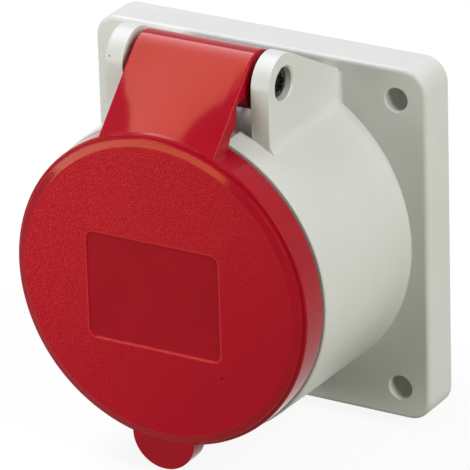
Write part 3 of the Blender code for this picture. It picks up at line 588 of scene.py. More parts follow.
class Wire:
    """A value or colour in a material's graph, which arithmetic extends with nodes."""

    def __init__(self, graph: "Graph", socket: bpy.types.NodeSocket) -> None:
        """Wrap one output socket of a graph."""
        self.graph = graph
        self.socket = socket

    def _math(self, operation: str, first: Any, second: Any) -> "Wire":
        """Add one Math node on two values or wires."""
        return self.graph.node("ShaderNodeMath", {"operation": operation}, {0: first, 1: second})

    def __add__(self, other: Any) -> "Wire":
        """Sum."""
        return self._math("ADD", self, other)

    __radd__ = __add__

    def __sub__(self, other: Any) -> "Wire":
        """Difference."""
        return self._math("SUBTRACT", self, other)

    def __rsub__(self, other: Any) -> "Wire":
        """Difference, reflected."""
        return self._math("SUBTRACT", other, self)

    def __mul__(self, other: Any) -> "Wire":
        """Product."""
        return self._math("MULTIPLY", self, other)

    def __pow__(self, other: Any) -> "Wire":
        """Power."""
        return self._math("POWER", self, other)

    def most(self, other: Any) -> "Wire":
        """Larger of two values."""
        return self._math("MAXIMUM", self, other)

    def size(self) -> "Wire":
        """Value without its sign."""
        return self._math("ABSOLUTE", self, 0.0)

    def above(self, edge: float, width: float) -> "Wire":
        """Mask that rises from 0 to 1 across an edge of the given width."""
        return self.graph.node(
            "ShaderNodeMapRange",
            {"interpolation_type": "SMOOTHSTEP"},
            {"Value": self, "From Min": edge - width / 2, "From Max": edge + width / 2},
        )

    def below(self, edge: float, width: float) -> "Wire":
        """Mask that falls from 1 to 0 across an edge of the given width."""
        return 1.0 - self.above(edge, width)


class Graph:
    """Node graph of one material, with its Principled shader."""

    def __init__(self, name: str) -> None:
        """Start a material with an empty Principled shader."""
        self.material = bpy.data.materials.new(name)
        self.material.use_nodes = True
        self.tree = self.material.node_tree
        self.shader = self.tree.nodes["Principled BSDF"]

    @classmethod
    def of_tree(cls, tree: bpy.types.NodeTree) -> "Graph":
        """Wrap a node tree that has no surface shader, such as the world's."""
        graph = cls.__new__(cls)
        graph.tree = tree
        return graph

    def node(
        self,
        kind: str,
        settings: dict[str, Any] | None = None,
        inputs: dict[Any, Any] | None = None,
        output: Any = 0,
    ) -> Wire:
        """Add a node.

        Args:
            kind: The node's type.
            settings: Its own settings, set first; stops gives a ramp's colours.
            inputs: Values or wires of its sockets, by name or number.
            output: The socket to return, by name or number.

        Returns:
            The chosen output.
        """
        made = self.tree.nodes.new(kind)
        for key, value in (settings or {}).items():
            if key == "stops":
                self._stops(made.color_ramp, value)
            else:
                setattr(made, key, value)
        for key, value in (inputs or {}).items():
            self.feed(made.inputs[key], value)
        return Wire(self, made.outputs[output])

    @staticmethod
    def _stops(ramp: bpy.types.ColorRamp, stops: Sequence[tuple[float, Sequence[float]]]) -> None:
        """Set a ramp's stops.

        Args:
            ramp: The ramp.
            stops: Position and colour of each stop.
        """
        while len(ramp.elements) < len(stops):
            ramp.elements.new(0.5)
        for element, (position, colour) in zip(ramp.elements, stops):
            element.position = position
            element.color = (*colour, 1.0)

    def feed(self, socket: bpy.types.NodeSocket, value: Any) -> None:
        """Link a wire to a socket, or set the socket's own value.

        Args:
            socket: The input to feed.
            value: A wire, or a value of the right kind.
        """
        if isinstance(value, Wire):
            self.tree.links.new(value.socket, socket)
        else:
            socket.default_value = value

    def set(self, **values: Any) -> None:
        """Feed the shader's sockets, named with underscores for spaces."""
        for key, value in values.items():
            self.feed(self.shader.inputs[key.replace("_", " ")], value)

    def position(self) -> Wire:
        """Object coordinates."""
        return self.node("ShaderNodeTexCoord", output="Object")

    def parts(self, vector: Wire) -> tuple[Wire, Wire, Wire]:
        """A vector's x, y and z.

        Args:
            vector: The vector.

        Returns:
            Its three values.
        """
        split = self.tree.nodes.new("ShaderNodeSeparateXYZ")
        self.feed(split.inputs[0], vector)
        return tuple(Wire(self, split.outputs[i]) for i in range(3))

    def noise(self, size: float, detail: float = 3.0, stretch: Place = (1, 1, 1)) -> Wire:
        """Noise with features of a size in millimetres.

        Args:
            size: Size of its features.
            detail: How many finer layers it has.
            stretch: Scale of the coordinates before the noise.

        Returns:
            The noise, from 0 to 1.
        """
        vector = self.position()
        if stretch != (1, 1, 1):
            vector = self.node(
                "ShaderNodeMapping", {}, {"Vector": vector, "Scale": stretch}
            )
        return self.node(
            "ShaderNodeTexNoise",
            {"noise_dimensions": "3D"},
            {
                "Vector": vector,
                "Scale": 1.0 / (size * METRE),
                "Detail": detail,
                "Roughness": NOISE_ROUGHNESS,
            },
        )

    def mix(self, factor: Any, first: Any, second: Any) -> Wire:
        """Blend two colours.

        Args:
            factor: Share of the second colour.
            first: Colour or wire at 0.
            second: Colour or wire at 1.

        Returns:
            The blended colour.
        """
        def colour(value: Any) -> Any:
            """Give a plain colour its alpha."""
            return value if isinstance(value, Wire) else (*value, 1.0)

        # The node's colour inputs are its sockets 6 and 7, and its colour output is 2.
        return self.node(
            "ShaderNodeMix",
            {"data_type": "RGBA"},
            {0: factor, 6: colour(first), 7: colour(second)},
            output=2,
        )

    def bump(self, height: Wire, depth: float) -> Wire:
        """Normal from a height, with its depth in millimetres."""
        return self.node("ShaderNodeBump", {}, {"Height": height, "Distance": depth * METRE})


@dataclass(frozen=True)
class MouldedPlastic:
    """Plain moulded plastic with fine spark grain and faint flow mottling."""

    name: str
    colour: Colour
    shade: Colour
    roughness: float = 0.42
    grain_size: float = 0.35
    grain_depth: float = 0.012
    specular: float = 0.36
    cloud_size: float = 14.0
    cloud_edge: Point = (0.5, 0.5)
    grain_edge: Point = (0.5, 0.4)
    cloud_tint: float = 0.6
    grain_tint: float = 0.15
    grain_rough: float = 0.12
    cloud_rough: float = 0.08

    def paint(self) -> bpy.types.Material:
        """Build the material.

        Returns:
            The finish.
        """
        graph = Graph(self.name)
        cloud = graph.noise(self.cloud_size, detail=2.0)
        fine = graph.noise(self.grain_size, detail=2.0)
        blotches = cloud.above(*self.cloud_edge) * self.cloud_tint
        tint = blotches + fine.above(*self.grain_edge) * self.grain_tint
        uneven = (fine - 0.5) * self.grain_rough + (cloud - 0.5) * self.cloud_rough
        graph.set(
            Base_Color=graph.mix(tint, self.colour, self.shade),
            Roughness=self.roughness + uneven,
            Normal=graph.bump(fine, self.grain_depth),
            IOR=PLASTIC_IOR,
            Specular_IOR_Level=self.specular,
        )
        return graph.material


@dataclass(frozen=True)
class LabelField:
    """Outline of the blank label field, shared by the lid and its finish."""

    size: Point = (33.6, 25.5)
    centre: Point = (-1.1, -1.1)
    corner: float = 2.0


@dataclass(frozen=True)
class LidPlastic:
    """Crimson plastic, grained on the disc's flat face and polished elsewhere, with a painted sheen
    on the grain that grows towards the upper left and a painted highlight on the ridge round the
    label field.
    """

    name: str = "red_lid_plastic"
    colour: Colour = (0.33, 0.002, 0.015)
    bright: Colour = (0.365, 0.003, 0.017)
    grain_colour: Colour = (0.36, 0.001, 0.016)
    # Colour of the bright speckles: the grain's lighter flecks, brightened further as a painted
    # sheen.
    grain_and_sheen_bright: Colour = (0.64, 0.02, 0.034)
    # Painted highlight colour of the fine ridge round the label field.
    ridge_painted_highlight: Colour = (0.56, 0.022, 0.03)
    sheen_tint: Colour = (1.0, 0.35, 0.11)
    specular: float = 0.22
    face_radius: float = 34.1
    face_front: float = 56.2
    grain_size: float = 0.34
    label: LabelField = LabelField()
    face_soft: float = 0.3
    front_soft: float = 0.2
    ridge_span: Point = (-0.02, 0.32)
    ridge_soft: float = 0.1
    grain_start: float = 0.3
    grain_soft: float = 0.2
    grain_smooth: float = 0.7
    # Painted sheen: the speckles' share grows towards the upper left, where the light falls, and
    # never drops below the least share.
    painted_sheen_fade: float = 10.0
    painted_sheen_least: float = 0.1
    fine_size: float = 0.25
    cloud_size: float = 9.0
    cloud_edge: Point = (0.5, 0.6)
    spot_edge: Point = (0.6, 0.4)
    cell_share: float = 0.7
    fine_share: float = 0.5
    fine_bump: float = 0.015
    polish: float = 0.1
    face_dull: float = 0.2
    grain_dull: float = 0.1
    cloud_dull: float = 0.05
    bump_depth: float = 0.03

    def _label_distance(self, x: Wire, z: Wire) -> Wire:
        """Distance outside the label field's outline, in metres.

        Args:
            x: Object coordinate x.
            z: Object coordinate z.

        Returns:
            The distance, negative inside.
        """
        label, corner = self.label, self.label.corner * METRE
        across = (x - label.centre[0] * METRE).size() - label.size[0] * METRE / 2 + corner
        upright = (z - label.centre[1] * METRE).size() - label.size[1] * METRE / 2 + corner
        across, upright = across.most(0.0), upright.most(0.0)
        return (across * across + upright * upright) ** 0.5 - corner

    def paint(self) -> bpy.types.Material:
        """Build the material.

        Returns:
            The finish.
        """
        graph = Graph(self.name)
        x, y, z = graph.parts(graph.position())
        flat = ((x * x + z * z) ** 0.5).below(self.face_radius * METRE, self.face_soft * METRE)
        face = flat * y.below(-self.face_front * METRE, self.front_soft * METRE)
        outside = self._label_distance(x, z)
        inner, outer, soft = (v * METRE for v in (*self.ridge_span, self.ridge_soft))
        ridge = outside.above(inner, soft) * outside.below(outer, soft) * face
        plain = face * outside.above(self.grain_start * METRE, self.grain_soft * METRE)
        # Painted sheen: speckle strength rises towards the upper left (z - x); the same share also
        # scales the grain's bump.
        painted_sheen_share = plain * ((z - x) * self.painted_sheen_fade + 0.5).most(self.painted_sheen_least)
        cells = graph.node(
            "ShaderNodeTexVoronoi",
            {"feature": "SMOOTH_F1"},
            {
                "Vector": graph.position(),
                "Scale": 1.0 / (self.grain_size * METRE),
                "Smoothness": self.grain_smooth,
            },
        )
        fine = graph.noise(self.fine_size)
        grain = cells * self.cell_share + fine * self.fine_share
        cloud = graph.noise(self.cloud_size, detail=2.0)
        body = graph.mix(cloud.above(*self.cloud_edge), self.colour, self.bright)
        grain_sheen_spots = grain.above(*self.spot_edge) * painted_sheen_share
        speckle_and_sheen = graph.mix(grain_sheen_spots, self.grain_colour, self.grain_and_sheen_bright)
        dressed = graph.mix(plain, body, speckle_and_sheen)
        dull = (face - ridge) * self.face_dull + plain * self.grain_dull
        graph.set(
            # The ridge round the label field gets a painted highlight colour.
            Base_Color=graph.mix(ridge, dressed, self.ridge_painted_highlight),
            Roughness=self.polish + dull + (cloud - 0.5) * self.cloud_dull,
            Normal=graph.bump(grain * painted_sheen_share + fine * self.fine_bump, self.bump_depth),
            IOR=PLASTIC_IOR,
            Specular_IOR_Level=self.specular,
            Specular_Tint=(*self.sheen_tint, 1.0),
        )
        return graph.material


@dataclass(frozen=True)
class SoftRubber:
    """Black seal rubber with a dull bloom."""

    name: str = "seal_rubber"
    colour: Colour = (0.014, 0.014, 0.015)
    bloomed: Colour = (0.03, 0.03, 0.031)
    roughness: float = 0.72
    bloom_rough: float = 0.2
    bloom_size: float = 2.5
    bloom_edge: Point = (0.55, 0.5)
    grain_size: float = 0.2
    grain_depth: float = 0.008

    def paint(self) -> bpy.types.Material:
        """Build the material.

        Returns:
            The finish.
        """
        graph = Graph(self.name)
        bloom = graph.noise(self.bloom_size)
        fine = graph.noise(self.grain_size, detail=2.0)
        graph.set(
            Base_Color=graph.mix(bloom.above(*self.bloom_edge), self.colour, self.bloomed),
            Roughness=self.roughness + (bloom - 0.5) * self.bloom_rough,
            Normal=graph.bump(fine, self.grain_depth),
        )
        return graph.material


@dataclass(frozen=True)
class PlatedMetal:
    """Turned metal with faint tool lines round its axis and small marks."""

    name: str
    colour: Colour
    dull: Colour
    roughness: float = 0.26
    line_size: float = 0.08
    line_depth: float = 0.004
    line_stretch: Place = (0.3, 1.0, 0.3)
    line_rough: float = 0.15
    mark_rough: float = 0.12
    mark_size: float = 0.9
    mark_edge: Point = (0.6, 0.3)

    def paint(self) -> bpy.types.Material:
        """Build the material.

        Returns:
            The finish.
        """
        graph = Graph(self.name)
        lines = graph.noise(self.line_size, detail=2.0, stretch=self.line_stretch)
        marks = graph.noise(self.mark_size, detail=4.0).above(*self.mark_edge)
        graph.set(
            Base_Color=graph.mix(marks, self.colour, self.dull),
            Roughness=self.roughness + (lines - 0.5) * self.line_rough + marks * self.mark_rough,
            Normal=graph.bump(lines, self.line_depth),
            Metallic=1.0,
        )
        return graph.material


class Palette:
    """The finishes, each made once."""

    def __init__(self) -> None:
        """Paint every finish."""
        self.grey = MouldedPlastic(
            "light_grey_plastic", (0.625, 0.626, 0.6), (0.585, 0.586, 0.555)
        ).paint()
        self.red = LidPlastic().paint()
        self.dark = MouldedPlastic(
            "dark_insulator", (0.055, 0.056, 0.06), (0.04, 0.041, 0.045), roughness=0.48
        ).paint()
        self.rubber = SoftRubber().paint()
        self.brass = PlatedMetal("turned_brass", (0.83, 0.62, 0.27), (0.6, 0.42, 0.17)).paint()
        self.steel = PlatedMetal(
            "plated_steel", (0.72, 0.71, 0.68), (0.42, 0.4, 0.37), roughness=0.22
        ).paint()
        self.black_steel = PlatedMetal(
            "black_steel", (0.1, 0.1, 0.09), (0.05, 0.05, 0.045), roughness=0.2
        ).paint()


@dataclass
class Piece:
    """A named piece of the socket: its node and its body."""

    palette: Palette

    def place(
        self,
        obj: Solid,
        material: bpy.types.Material,
        body: Body,
        slot: Slot,
        *nodes: str,
        angle: float = 32.0,
        twist: tuple[Place, Place] | None = None,
    ) -> Solid:
        """Finish a piece, dress it and hang it on its body.

        Args:
            obj: The modelled piece, in millimetres.
            material: Its finish.
            body: The body that carries it.
            slot: The record's slot; not used.
            nodes: The nodes that it stands for.
            angle: Edges that turn by more degrees than this stay sharp.
            twist: Where a piece that twists leaves the lid and where it joins its body; only
                whether it is given counts, and such a piece is kept in place on no body.

        Returns:
            The finished piece.
        """
        Bench.finish(obj, angle)
        obj.data.materials.clear()
        obj.data.materials.append(material)
        if twist:
            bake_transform(obj)
        else:
            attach(obj, body.value)
        if nodes:
            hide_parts(*nodes)
        count = sum(len(face.vertices) - 2 for face in obj.data.polygons)
        LOG.info("%s: %d triangles", obj.name, count)
        return obj


@dataclass
class Hinge:
    """Where the lid turns and its room between the ears, shared by several pieces."""

    front: float = 34.3
    height: float = 45.0
    ear_outer: float = 20.6
    ear_inner: float = 16.2
    gap: float = 0.3
    bore: float = 2.3
    floor: float = 35.4

    @property
    def centre(self) -> Point:
        """The axis, in y and z."""
        return (-self.front, self.height)

    def seat(self, obj: Solid) -> Solid:
        """Turn a piece from the socket's axis onto the hinge's."""
        return Bench.move(obj, (0.0, *self.centre), Matrix.Rotation(math.pi / 2, 4, "Z"))


@dataclass
class Contacts:
    """Where the contacts stand and how large their sleeves are."""

    circle: float = 19.25
    names: tuple[str, ...] = ("earth", "line_1", "line_2", "line_3", "neutral")
    pins: tuple[float, ...] = (4.0, 3.0, 3.0, 3.0, 3.0)
    clearance: float = 0.1
    wall: float = 1.1
    collar_step: float = 1.7
    groove: float = 0.3
    gap: float = 0.3
    ring_wall: float = 0.6
    screw_front: float = -10.0

    @property
    def indices(self) -> range:
        """Numbers of the contacts."""
        return range(len(self.names))

    def degrees(self, index: int) -> float:
        """Direction of a contact, the earth at the bottom."""
        return -90.0 + index * 360.0 / len(self.names)

    def place(self, index: int, front: float = 0.0) -> Vector:
        """Point on a contact's axis."""
        return around(self.circle, self.degrees(index), front)

    def outward(self, index: int) -> Vector:
        """Direction from the socket's axis to a contact."""
        return around(1.0, self.degrees(index))

    def sleeve(self, index: int) -> float:
        """Outer radius of a sleeve."""
        return self.pins[index] + self.clearance + self.wall

    def collar(self, index: int) -> float:
        """Outer radius of a sleeve's collar."""
        return self.sleeve(index) + self.collar_step

    def ring(self, index: int) -> float:
        """Inner radius of a sleeve's spring ring."""
        return self.sleeve(index) - self.groove + self.gap


@dataclass
class Housing(Piece):
    """Flange, round body, collar and hinge ears in one moulding."""

    hinge: Hinge = field(default_factory=Hinge)
    width: float = 85.0
    depth: float = 10.2
    corner: float = 5.5
    edge: float = 1.1
    fixing_radius: float = 2.75
    fixing_chamfer: float = 0.3
    root_radius: float = 38.2
    root_fillet: float = 0.45
    mouth_radius: float = 37.4
    mouth: float = 47.6
    bore: float = 32.5
    shoulder_front: float = 9.5
    shoulder_back: float = 4.5
    shoulder_radius: float = 27.1
    rear_radius: float = 32.2
    keyway_width: float = 7.8
    keyway_floor: float = 35.5
    ear_radius: float = 7.0
    ear_root: float = 39.6
    notch_half: float = 13.3
    notch_flare: float = 1.6
    seat_radius: float = 3.8
    seat_depth: float = 3.0
    recess: float = 80.0
    recess_depth: float = 1.8
    ear_edge: float = 0.9
    ear_blend: float = 3.5
    ear_foot: float = 1.2
    screw_radius: float = 1.75
    screw_depth: float = 8.7
    overlap: float = 0.6
    fillet_sink: float = 0.06
    lip_round: float = 0.45
    bore_lead: float = 0.6
    ear_sink: float = 30.0
    ear_nose: float = 0.3
    slope_start: float = 0.4
    nose_start: float = 0.2
    foot_gap: float = 0.3
    blend_short: float = 0.3
    blend_rise: float = 0.12
    blend_depth: float = 12.0
    grip: float = 1.0
    foot_sink: float = 0.5
    notch_round: float = 2.6
    notch_swing: float = 65.0
    notch_mouth: float = 1.7
    notch_back: float = 4.0
    notch_levels: Point = (20.0, 45.0)
    seat_lead: float = 0.4
    bore_end: float = 3.4
    recess_corner: float = 3.0
    gate_inset: float = 0.9
    gate_rise: float = 1.9
    gate_radius: float = 0.22
    gate_depth: float = 0.8

    def _body_outline(self) -> list[Point]:
        """Half section of the round body outside.

        Returns:
            Corners as radius and distance in front of the panel.
        """
        root, lip = self.root_radius + self.root_fillet, self.lip_round
        middle = self.depth + self.root_fillet - self.fillet_sink
        fillet = arc((root, middle), self.root_fillet, -90, -180, steps=5)
        edge = arc((self.mouth_radius - lip, self.mouth - lip), lip, 0, 90, steps=4)
        start = self.depth - self.overlap
        return [(0.0, start), (root, start), *fillet, *edge, (0.0, self.mouth)]

    def _bore_outline(self) -> list[Point]:
        """Half section of the stepped bore.

        Returns:
            Corners as radius and distance in front of the panel.
        """
        wide = self.bore + self.bore_lead
        lead = arc((wide, self.mouth - self.bore_lead), self.bore_lead, 90, 180, steps=4)
        return [
            (0.0, self.mouth + PAST),
            (wide, self.mouth + PAST),
            *lead,
            (self.bore, self.shoulder_front),
            (self.shoulder_radius, self.shoulder_front),
            (self.shoulder_radius, self.shoulder_back),
            (self.rear_radius, self.shoulder_back),
            (self.rear_radius, -PAST),
            (0.0, -PAST),
        ]

    def _ear_outline(self) -> list[Point]:
        """Side outline of an ear.

        Returns:
            Corners in y and z.
        """
        y, z = self.hinge.centre
        root = (self.overlap - self.depth, self.ear_root)
        run, rise = y - root[0], z - root[1]
        slope = math.atan2(rise, run) - math.asin(self.ear_radius / math.hypot(run, rise))
        nose = arc((y, z), self.ear_radius, math.degrees(slope) - 90.0, 180.0, steps=24)
        return [root, *nose, (y - self.ear_radius, self.ear_sink), (root[0], self.ear_sink)]

    def _ear(self, side: int) -> Solid:
        """One ear with softened outer edges.

        Args:
            side: 1 for the right ear, -1 for the left.

        Returns:
            The ear.
        """
        sides = sorted((side * self.hinge.ear_inner, side * self.hinge.ear_outer))
        ear = Bench.side_plate(f"ear_{side}", self._ear_outline(), *sides)
        outer, front, axis = side * self.hinge.ear_outer, -self.hinge.front, self.hinge.height

        high, low = self.ear_root + self.slope_start, self.ear_sink + self.grip

        def sloping(p: Vector) -> bool:
            """Whether a point lies on the outer side's sloping top edge."""
            return abs(p.x - outer) < NEAR and p.y > front and p.z > high

        def nose(p: Vector) -> bool:
            """Whether a point lies on the ear's front."""
            return p.y < front - self.nose_start and low < p.z < axis + self.ear_radius

        Bench.round_edges(ear, self.ear_edge, sloping, segments=5, turn=50.0)
        return Bench.round_edges(ear, self.ear_nose, nose, segments=3, turn=50.0)

    def _blend(self, side: int) -> Solid:
        """Hollow rounding between an ear's outer side and the body.

        Args:
            side: 1 for the right ear, -1 for the left.

        Returns:
            The rounding, to be fused.
        """
        outer, turn = self.hinge.ear_outer, self.ear_blend
        tip = self.hinge.front + self.ear_radius - self.blend_short
        ends = (
            (tip, self.mouth_radius + self.blend_rise),
            (self.depth - self.overlap, self.root_radius),
        )
        sections = []
        for front, body in ends:
            height = math.sqrt((body + turn) ** 2 - (outer + turn) ** 2)
            swing = math.degrees(math.atan2(height, outer + turn))
            hollow = arc((outer + turn, height), turn, 180.0, 180.0 + swing, steps=10)
            inside = outer - self.grip
            outline = [*hollow, (inside, body - self.blend_depth), (inside, height)]
            sections.append([(side * x, -front, z) for x, z in outline])
        return Bench.skin(f"ear_blend_{side}", sections)

    def _foot(self, side: int) -> Solid:
        """Small hollow rounding between an ear's outer side and the flange.

        Args:
            side: 1 for the right ear, -1 for the left.

        Returns:
            The rounding, to be fused.
        """
        outer, turn = self.hinge.ear_outer, self.ear_foot
        wide, inside = outer + turn, outer - self.grip
        top, low = self.depth + turn, self.depth - self.foot_sink
        hollow = arc((wide, top), turn, 180.0, 270.0, steps=6)
        outline = [*hollow, (wide, low), (inside, low), (inside, top)]
        places = [(side * x, -front, self.ear_sink) for x, front in outline]
        rise = self.ear_root - self.ear_sink - self.foot_gap
        return Bench.plate(f"ear_foot_{side}", places, (0.0, 0.0, rise))

    def _marks(self) -> list[Solid]:
        """Holes of the insulator's screws and the small gate mark on the left ear.

        Returns:
            Tools to carve with.
        """
        tools = [
            Bench.rod(
                f"insulator_screw_{i}", self.screw_radius,
                screw_spot(i, self.screw_depth), screw_spot(i, self.shoulder_back - PAST), steps=32,
            )
            for i in range(SCREW_COUNT)
        ]
        x, z = self.gate_inset - self.hinge.ear_outer, self.hinge.height + self.gate_rise
        front = -self.hinge.front - self.ear_radius
        ends = ((x, front - PAST, z), (x, front + self.gate_depth, z))
        return [*tools, Bench.rod("gate_mark", self.gate_radius, *ends, steps=16)]

    def _off_floor(self, tool: Solid) -> Solid:
        """Stop a cutting tool at the round floor between the ears."""
        floor = Bench.rod("floor", self.hinge.floor, (0, -REACH, 0), (0, 0, 0), steps=FINE_TURN)
        return Bench.carve(tool, floor)

    def _slot(self) -> Solid:
        """Space between the ears.

        Returns:
            Tool to carve with.
        """
        inner = self.hinge.ear_inner
        back = -self.depth - self.root_fillet
        tool = Bench.block(
            "slot_tool", (-inner, -self.hinge.front - self.ear_radius, 0.0), (inner, back, REACH)
        )
        return self._off_floor(tool)

    def _notch(self) -> Solid:
        """Notch in the collar's lip, flared at the mouth.

        Returns:
            Tool to carve with.
        """
        half, mouth = self.notch_half, -self.mouth
        middle = (half + self.notch_round, mouth + self.notch_flare)
        flare = arc(middle, self.notch_round, 180, 180 + self.notch_swing, steps=8)
        back = -self.hinge.front - self.notch_back
        right = [(half, back), *flare, (half + self.notch_mouth, mouth - PAST)]
        outline = right + [(-x, y) for x, y in reversed(right)]
        low, high = self.notch_levels
        places = [(x, y, low) for x, y in outline]
        return self._off_floor(Bench.plate("notch_tool", places, (0.0, 0.0, high - low)))

    def _fixings(self) -> list[Solid]:
        """Tools of the four chamfered screw holes.

        Returns:
            Tools to carve with.
        """
        outline = [
            (0.0, self.depth + PAST),
            (self.fixing_radius + self.fixing_chamfer + PAST, self.depth + PAST),
            (self.fixing_radius, self.depth - self.fixing_chamfer),
            (self.fixing_radius, -PAST),
            (0.0, -PAST),
        ]
        tools = []
        for x, z in CORNERS:
            tool = Bench.turned(f"fixing_{x}_{z}", outline, steps=48)
            tools.append(Bench.move(tool, (x * FIXING, 0.0, z * FIXING)))
        return tools

    def _hinge_bore(self) -> Solid:
        """Tool of the hinge screw's stepped bore.

        Returns:
            Tool to carve with.
        """
        outer, seat = self.hinge.ear_outer, self.hinge.ear_outer - self.seat_depth
        bore, end = self.hinge.bore, -self.hinge.ear_inner - self.bore_end
        outline = [
            (0.0, outer + PAST),
            (self.seat_radius + self.seat_lead + PAST, outer + PAST),
            (self.seat_radius, outer - self.seat_lead),
            (self.seat_radius, seat), (bore, seat), (bore, end), (0.0, end),
        ]
        return self.hinge.seat(Bench.turned("hinge_bore", outline, steps=64))

    def build(self) -> Solid:
        """Model and dress the housing.

        Returns:
            The finished housing.
        """
        outline = rounded_rectangle(self.width, self.width, self.corner, steps=14)
        housing = Bench.layer("panel_housing", outline, self.depth, 0.0)
        Bench.round_edges(housing, self.edge, lambda p: p.y < NEAR - self.depth, segments=6)
        body = Bench.turned("body", self._body_outline(), steps=FINE_TURN)
        Bench.fuse(housing, body)
        for side in (1, -1):
            Bench.fuse(housing, self._ear(side), self._blend(side), self._foot(side))
        bore = Bench.turned("bore", self._bore_outline(), steps=FINE_TURN)
        Bench.carve(housing, self._slot(), self._notch(), bore)
        keyway = Bench.block(
            "keyway",
            (-self.keyway_width / 2, -self.mouth - PAST, -self.keyway_floor),
            (self.keyway_width / 2, -self.shoulder_front, 0.0),
        )
        inner = rounded_rectangle(self.recess, self.recess, self.recess_corner)
        recess = Bench.layer("seal_recess", inner, self.recess_depth, -PAST)
        Bench.carve(housing, keyway, recess, *self._fixings(), self._hinge_bore(), *self._marks())
        return self.place(
            housing, self.palette.grey, Body.SOCKET, Slot.GREY, "housing", angle=28.0
        )


@dataclass
class Lid(Piece):
    """Red cap with its disc, label field, thumb tab, arm and barrel in one moulding."""

    hinge: Hinge = field(default_factory=Hinge)
    radius: float = 36.8
    draft: float = 0.1
    back: float = 48.2
    ledge: float = 55.2
    face: float = 56.65
    disc: float = 35.9
    band: float = 1.9
    band_drop: float = 0.45
    sunk: float = 0.04
    rim_wall: float = 1.8
    plate: float = 3.0
    groove_floor: float = 51.4
    groove_outer: float = 35.1
    groove_inner: float = 32.8
    keeper_wall: float = 1.6
    keeper_height: float = 1.8
    label: LabelField = LabelField()
    label_depth: float = 0.35
    tab_radius: float = 7.9
    tab_reach: float = 43.0
    tab_root: float = 30.7
    tab_front: float = 56.15
    tab_back: float = 51.0
    arm_half: float = 14.7
    barrel: float = 6.8
    web: float = 2.2
    web_draft: float = 0.3
    hook_drop: float = 0.8
    hook_thickness: float = 2.6
    face_rows: int = 12
    round_over: float = 0.5
    label_edge: float = 0.3
    label_ridge: float = 0.16
    pit: tuple[float, float, float] = (15.8, -17.3, 0.3)
    disc_round: float = 0.25
    rim_round: float = 0.45
    step: float = 0.12
    foot: float = 0.15
    overlap: float = 0.6
    arch_end: float = 1.5
    arm_columns: int = 24
    web_corner: Point = (10.8, 2.5)
    web_foot: Point = (3.3, 1.3)
    tab_wall: float = 1.8
    tab_round: float = 0.45
    hook_rise: Point = (4.6, 2.6)
    label_cut: float = 0.4
    pad_sink: float = 0.15
    pocket: float = 4.7
    pocket_half: float = 10.4
    pocket_drop: float = 2.7
    bore_half: float = 20.0
    leg_slot: Point = (5.1, 6.9)
    leg_swing: float = 62.0

    def _cap_outline(self) -> list[Point]:
        """Half section of the cap outside.

        Returns:
            Corners as radius and distance in front of the panel.
        """
        flat, turn, edge = self.disc - self.band, self.disc_round, self.rim_round
        slope = math.atan2(self.band_drop, self.band - turn)
        middle = (self.disc - turn, self.face - self.band_drop - turn)
        shoulder = arc(middle, turn, 90.0 - math.degrees(slope), 0, steps=5)
        rim = arc((self.radius - edge, self.ledge - edge), edge, 90, 0, steps=5)
        skirt = self.radius + self.draft
        return [
            (0.0, self.face - self.sunk),
            (flat - self.step, self.face - self.sunk),
            (flat, self.face),
            (flat + self.step, self.face - self.step * math.tan(slope)),
            *shoulder,
            (self.disc, self.ledge + self.foot),
            (self.disc + self.foot, self.ledge),
            *rim,
            (skirt, self.back + self.foot),
            (skirt - self.foot, self.back),
            (0.0, self.back),
        ]

    def _inside_outline(self) -> list[Point]:
        """Half section of the hollow behind the cap.

        Returns:
            Corners as radius and distance in front of the panel.
        """
        keeper = self.groove_floor - self.keeper_height
        inside = self.face - self.plate
        wall = self.groove_inner - self.keeper_wall
        return [
            (0.0, self.back - PAST),
            (self.groove_outer, self.back - PAST),
            (self.groove_outer, self.groove_floor),
            (self.groove_inner, self.groove_floor),
            (self.groove_inner, keeper),
            (wall, keeper),
            (wall, inside),
            (0.0, inside),
        ]

    def _arm_ring(self, x: float, webbed: bool, inset: float) -> list[Place]:
        """Section of the arm and barrel at one place across it.

        Args:
            x: Place across the arm.
            webbed: Whether the section lies in a side web.
            inset: How far the outside is drawn in, to round the arm's side edges.

        Returns:
            The section's corners.
        """
        y, z = self.hinge.centre
        share = (x / self.arm_half) ** 2
        edge_radius = self.disc + (self.radius - self.disc) * share
        edge = (-self.ledge, math.sqrt(edge_radius**2 - x * x))
        run, fall = y - edge[0], z - edge[1]
        barrel = self.barrel - inset
        start = math.atan2(-fall, -run) - math.acos(self.barrel / math.hypot(run, fall))
        first = math.degrees(start) + 360.0
        last = -180.0 + math.degrees(math.asin(self.arch_end / self.barrel))
        arch = arc((y, z), barrel, first, last, steps=60)
        face = (math.cos(start) * inset, math.sin(start) * inset)
        edge = (edge[0] - face[0], edge[1] - face[1])
        rim = math.sqrt(self.radius**2 - x * x)
        landing = (-self.back - self.overlap, rim + self.overlap)
        if webbed:
            corner, foot, half = self.web_corner, self.web_foot, inset * 0.5
            rear = [
                (y - corner[0] + half, z - corner[1] + half),
                (-self.back + foot[0] - inset, self.radius + foot[1]),
                (-self.back + self.overlap - inset, self.radius - self.overlap + half),
            ]
        else:
            rear = [between(arch[-1], landing, (i + 1) / 4) for i in range(3)]
        sunk = (landing[0], rim - self.overlap)
        inside = (self.overlap - self.ledge, edge[1] - self.rim_wall)
        front = [between(edge, arch[0], i / self.face_rows) for i in range(self.face_rows)]
        ring = [*arch, *rear, landing, sunk, inside, *front]
        return [(x, u, v) for u, v in ring]

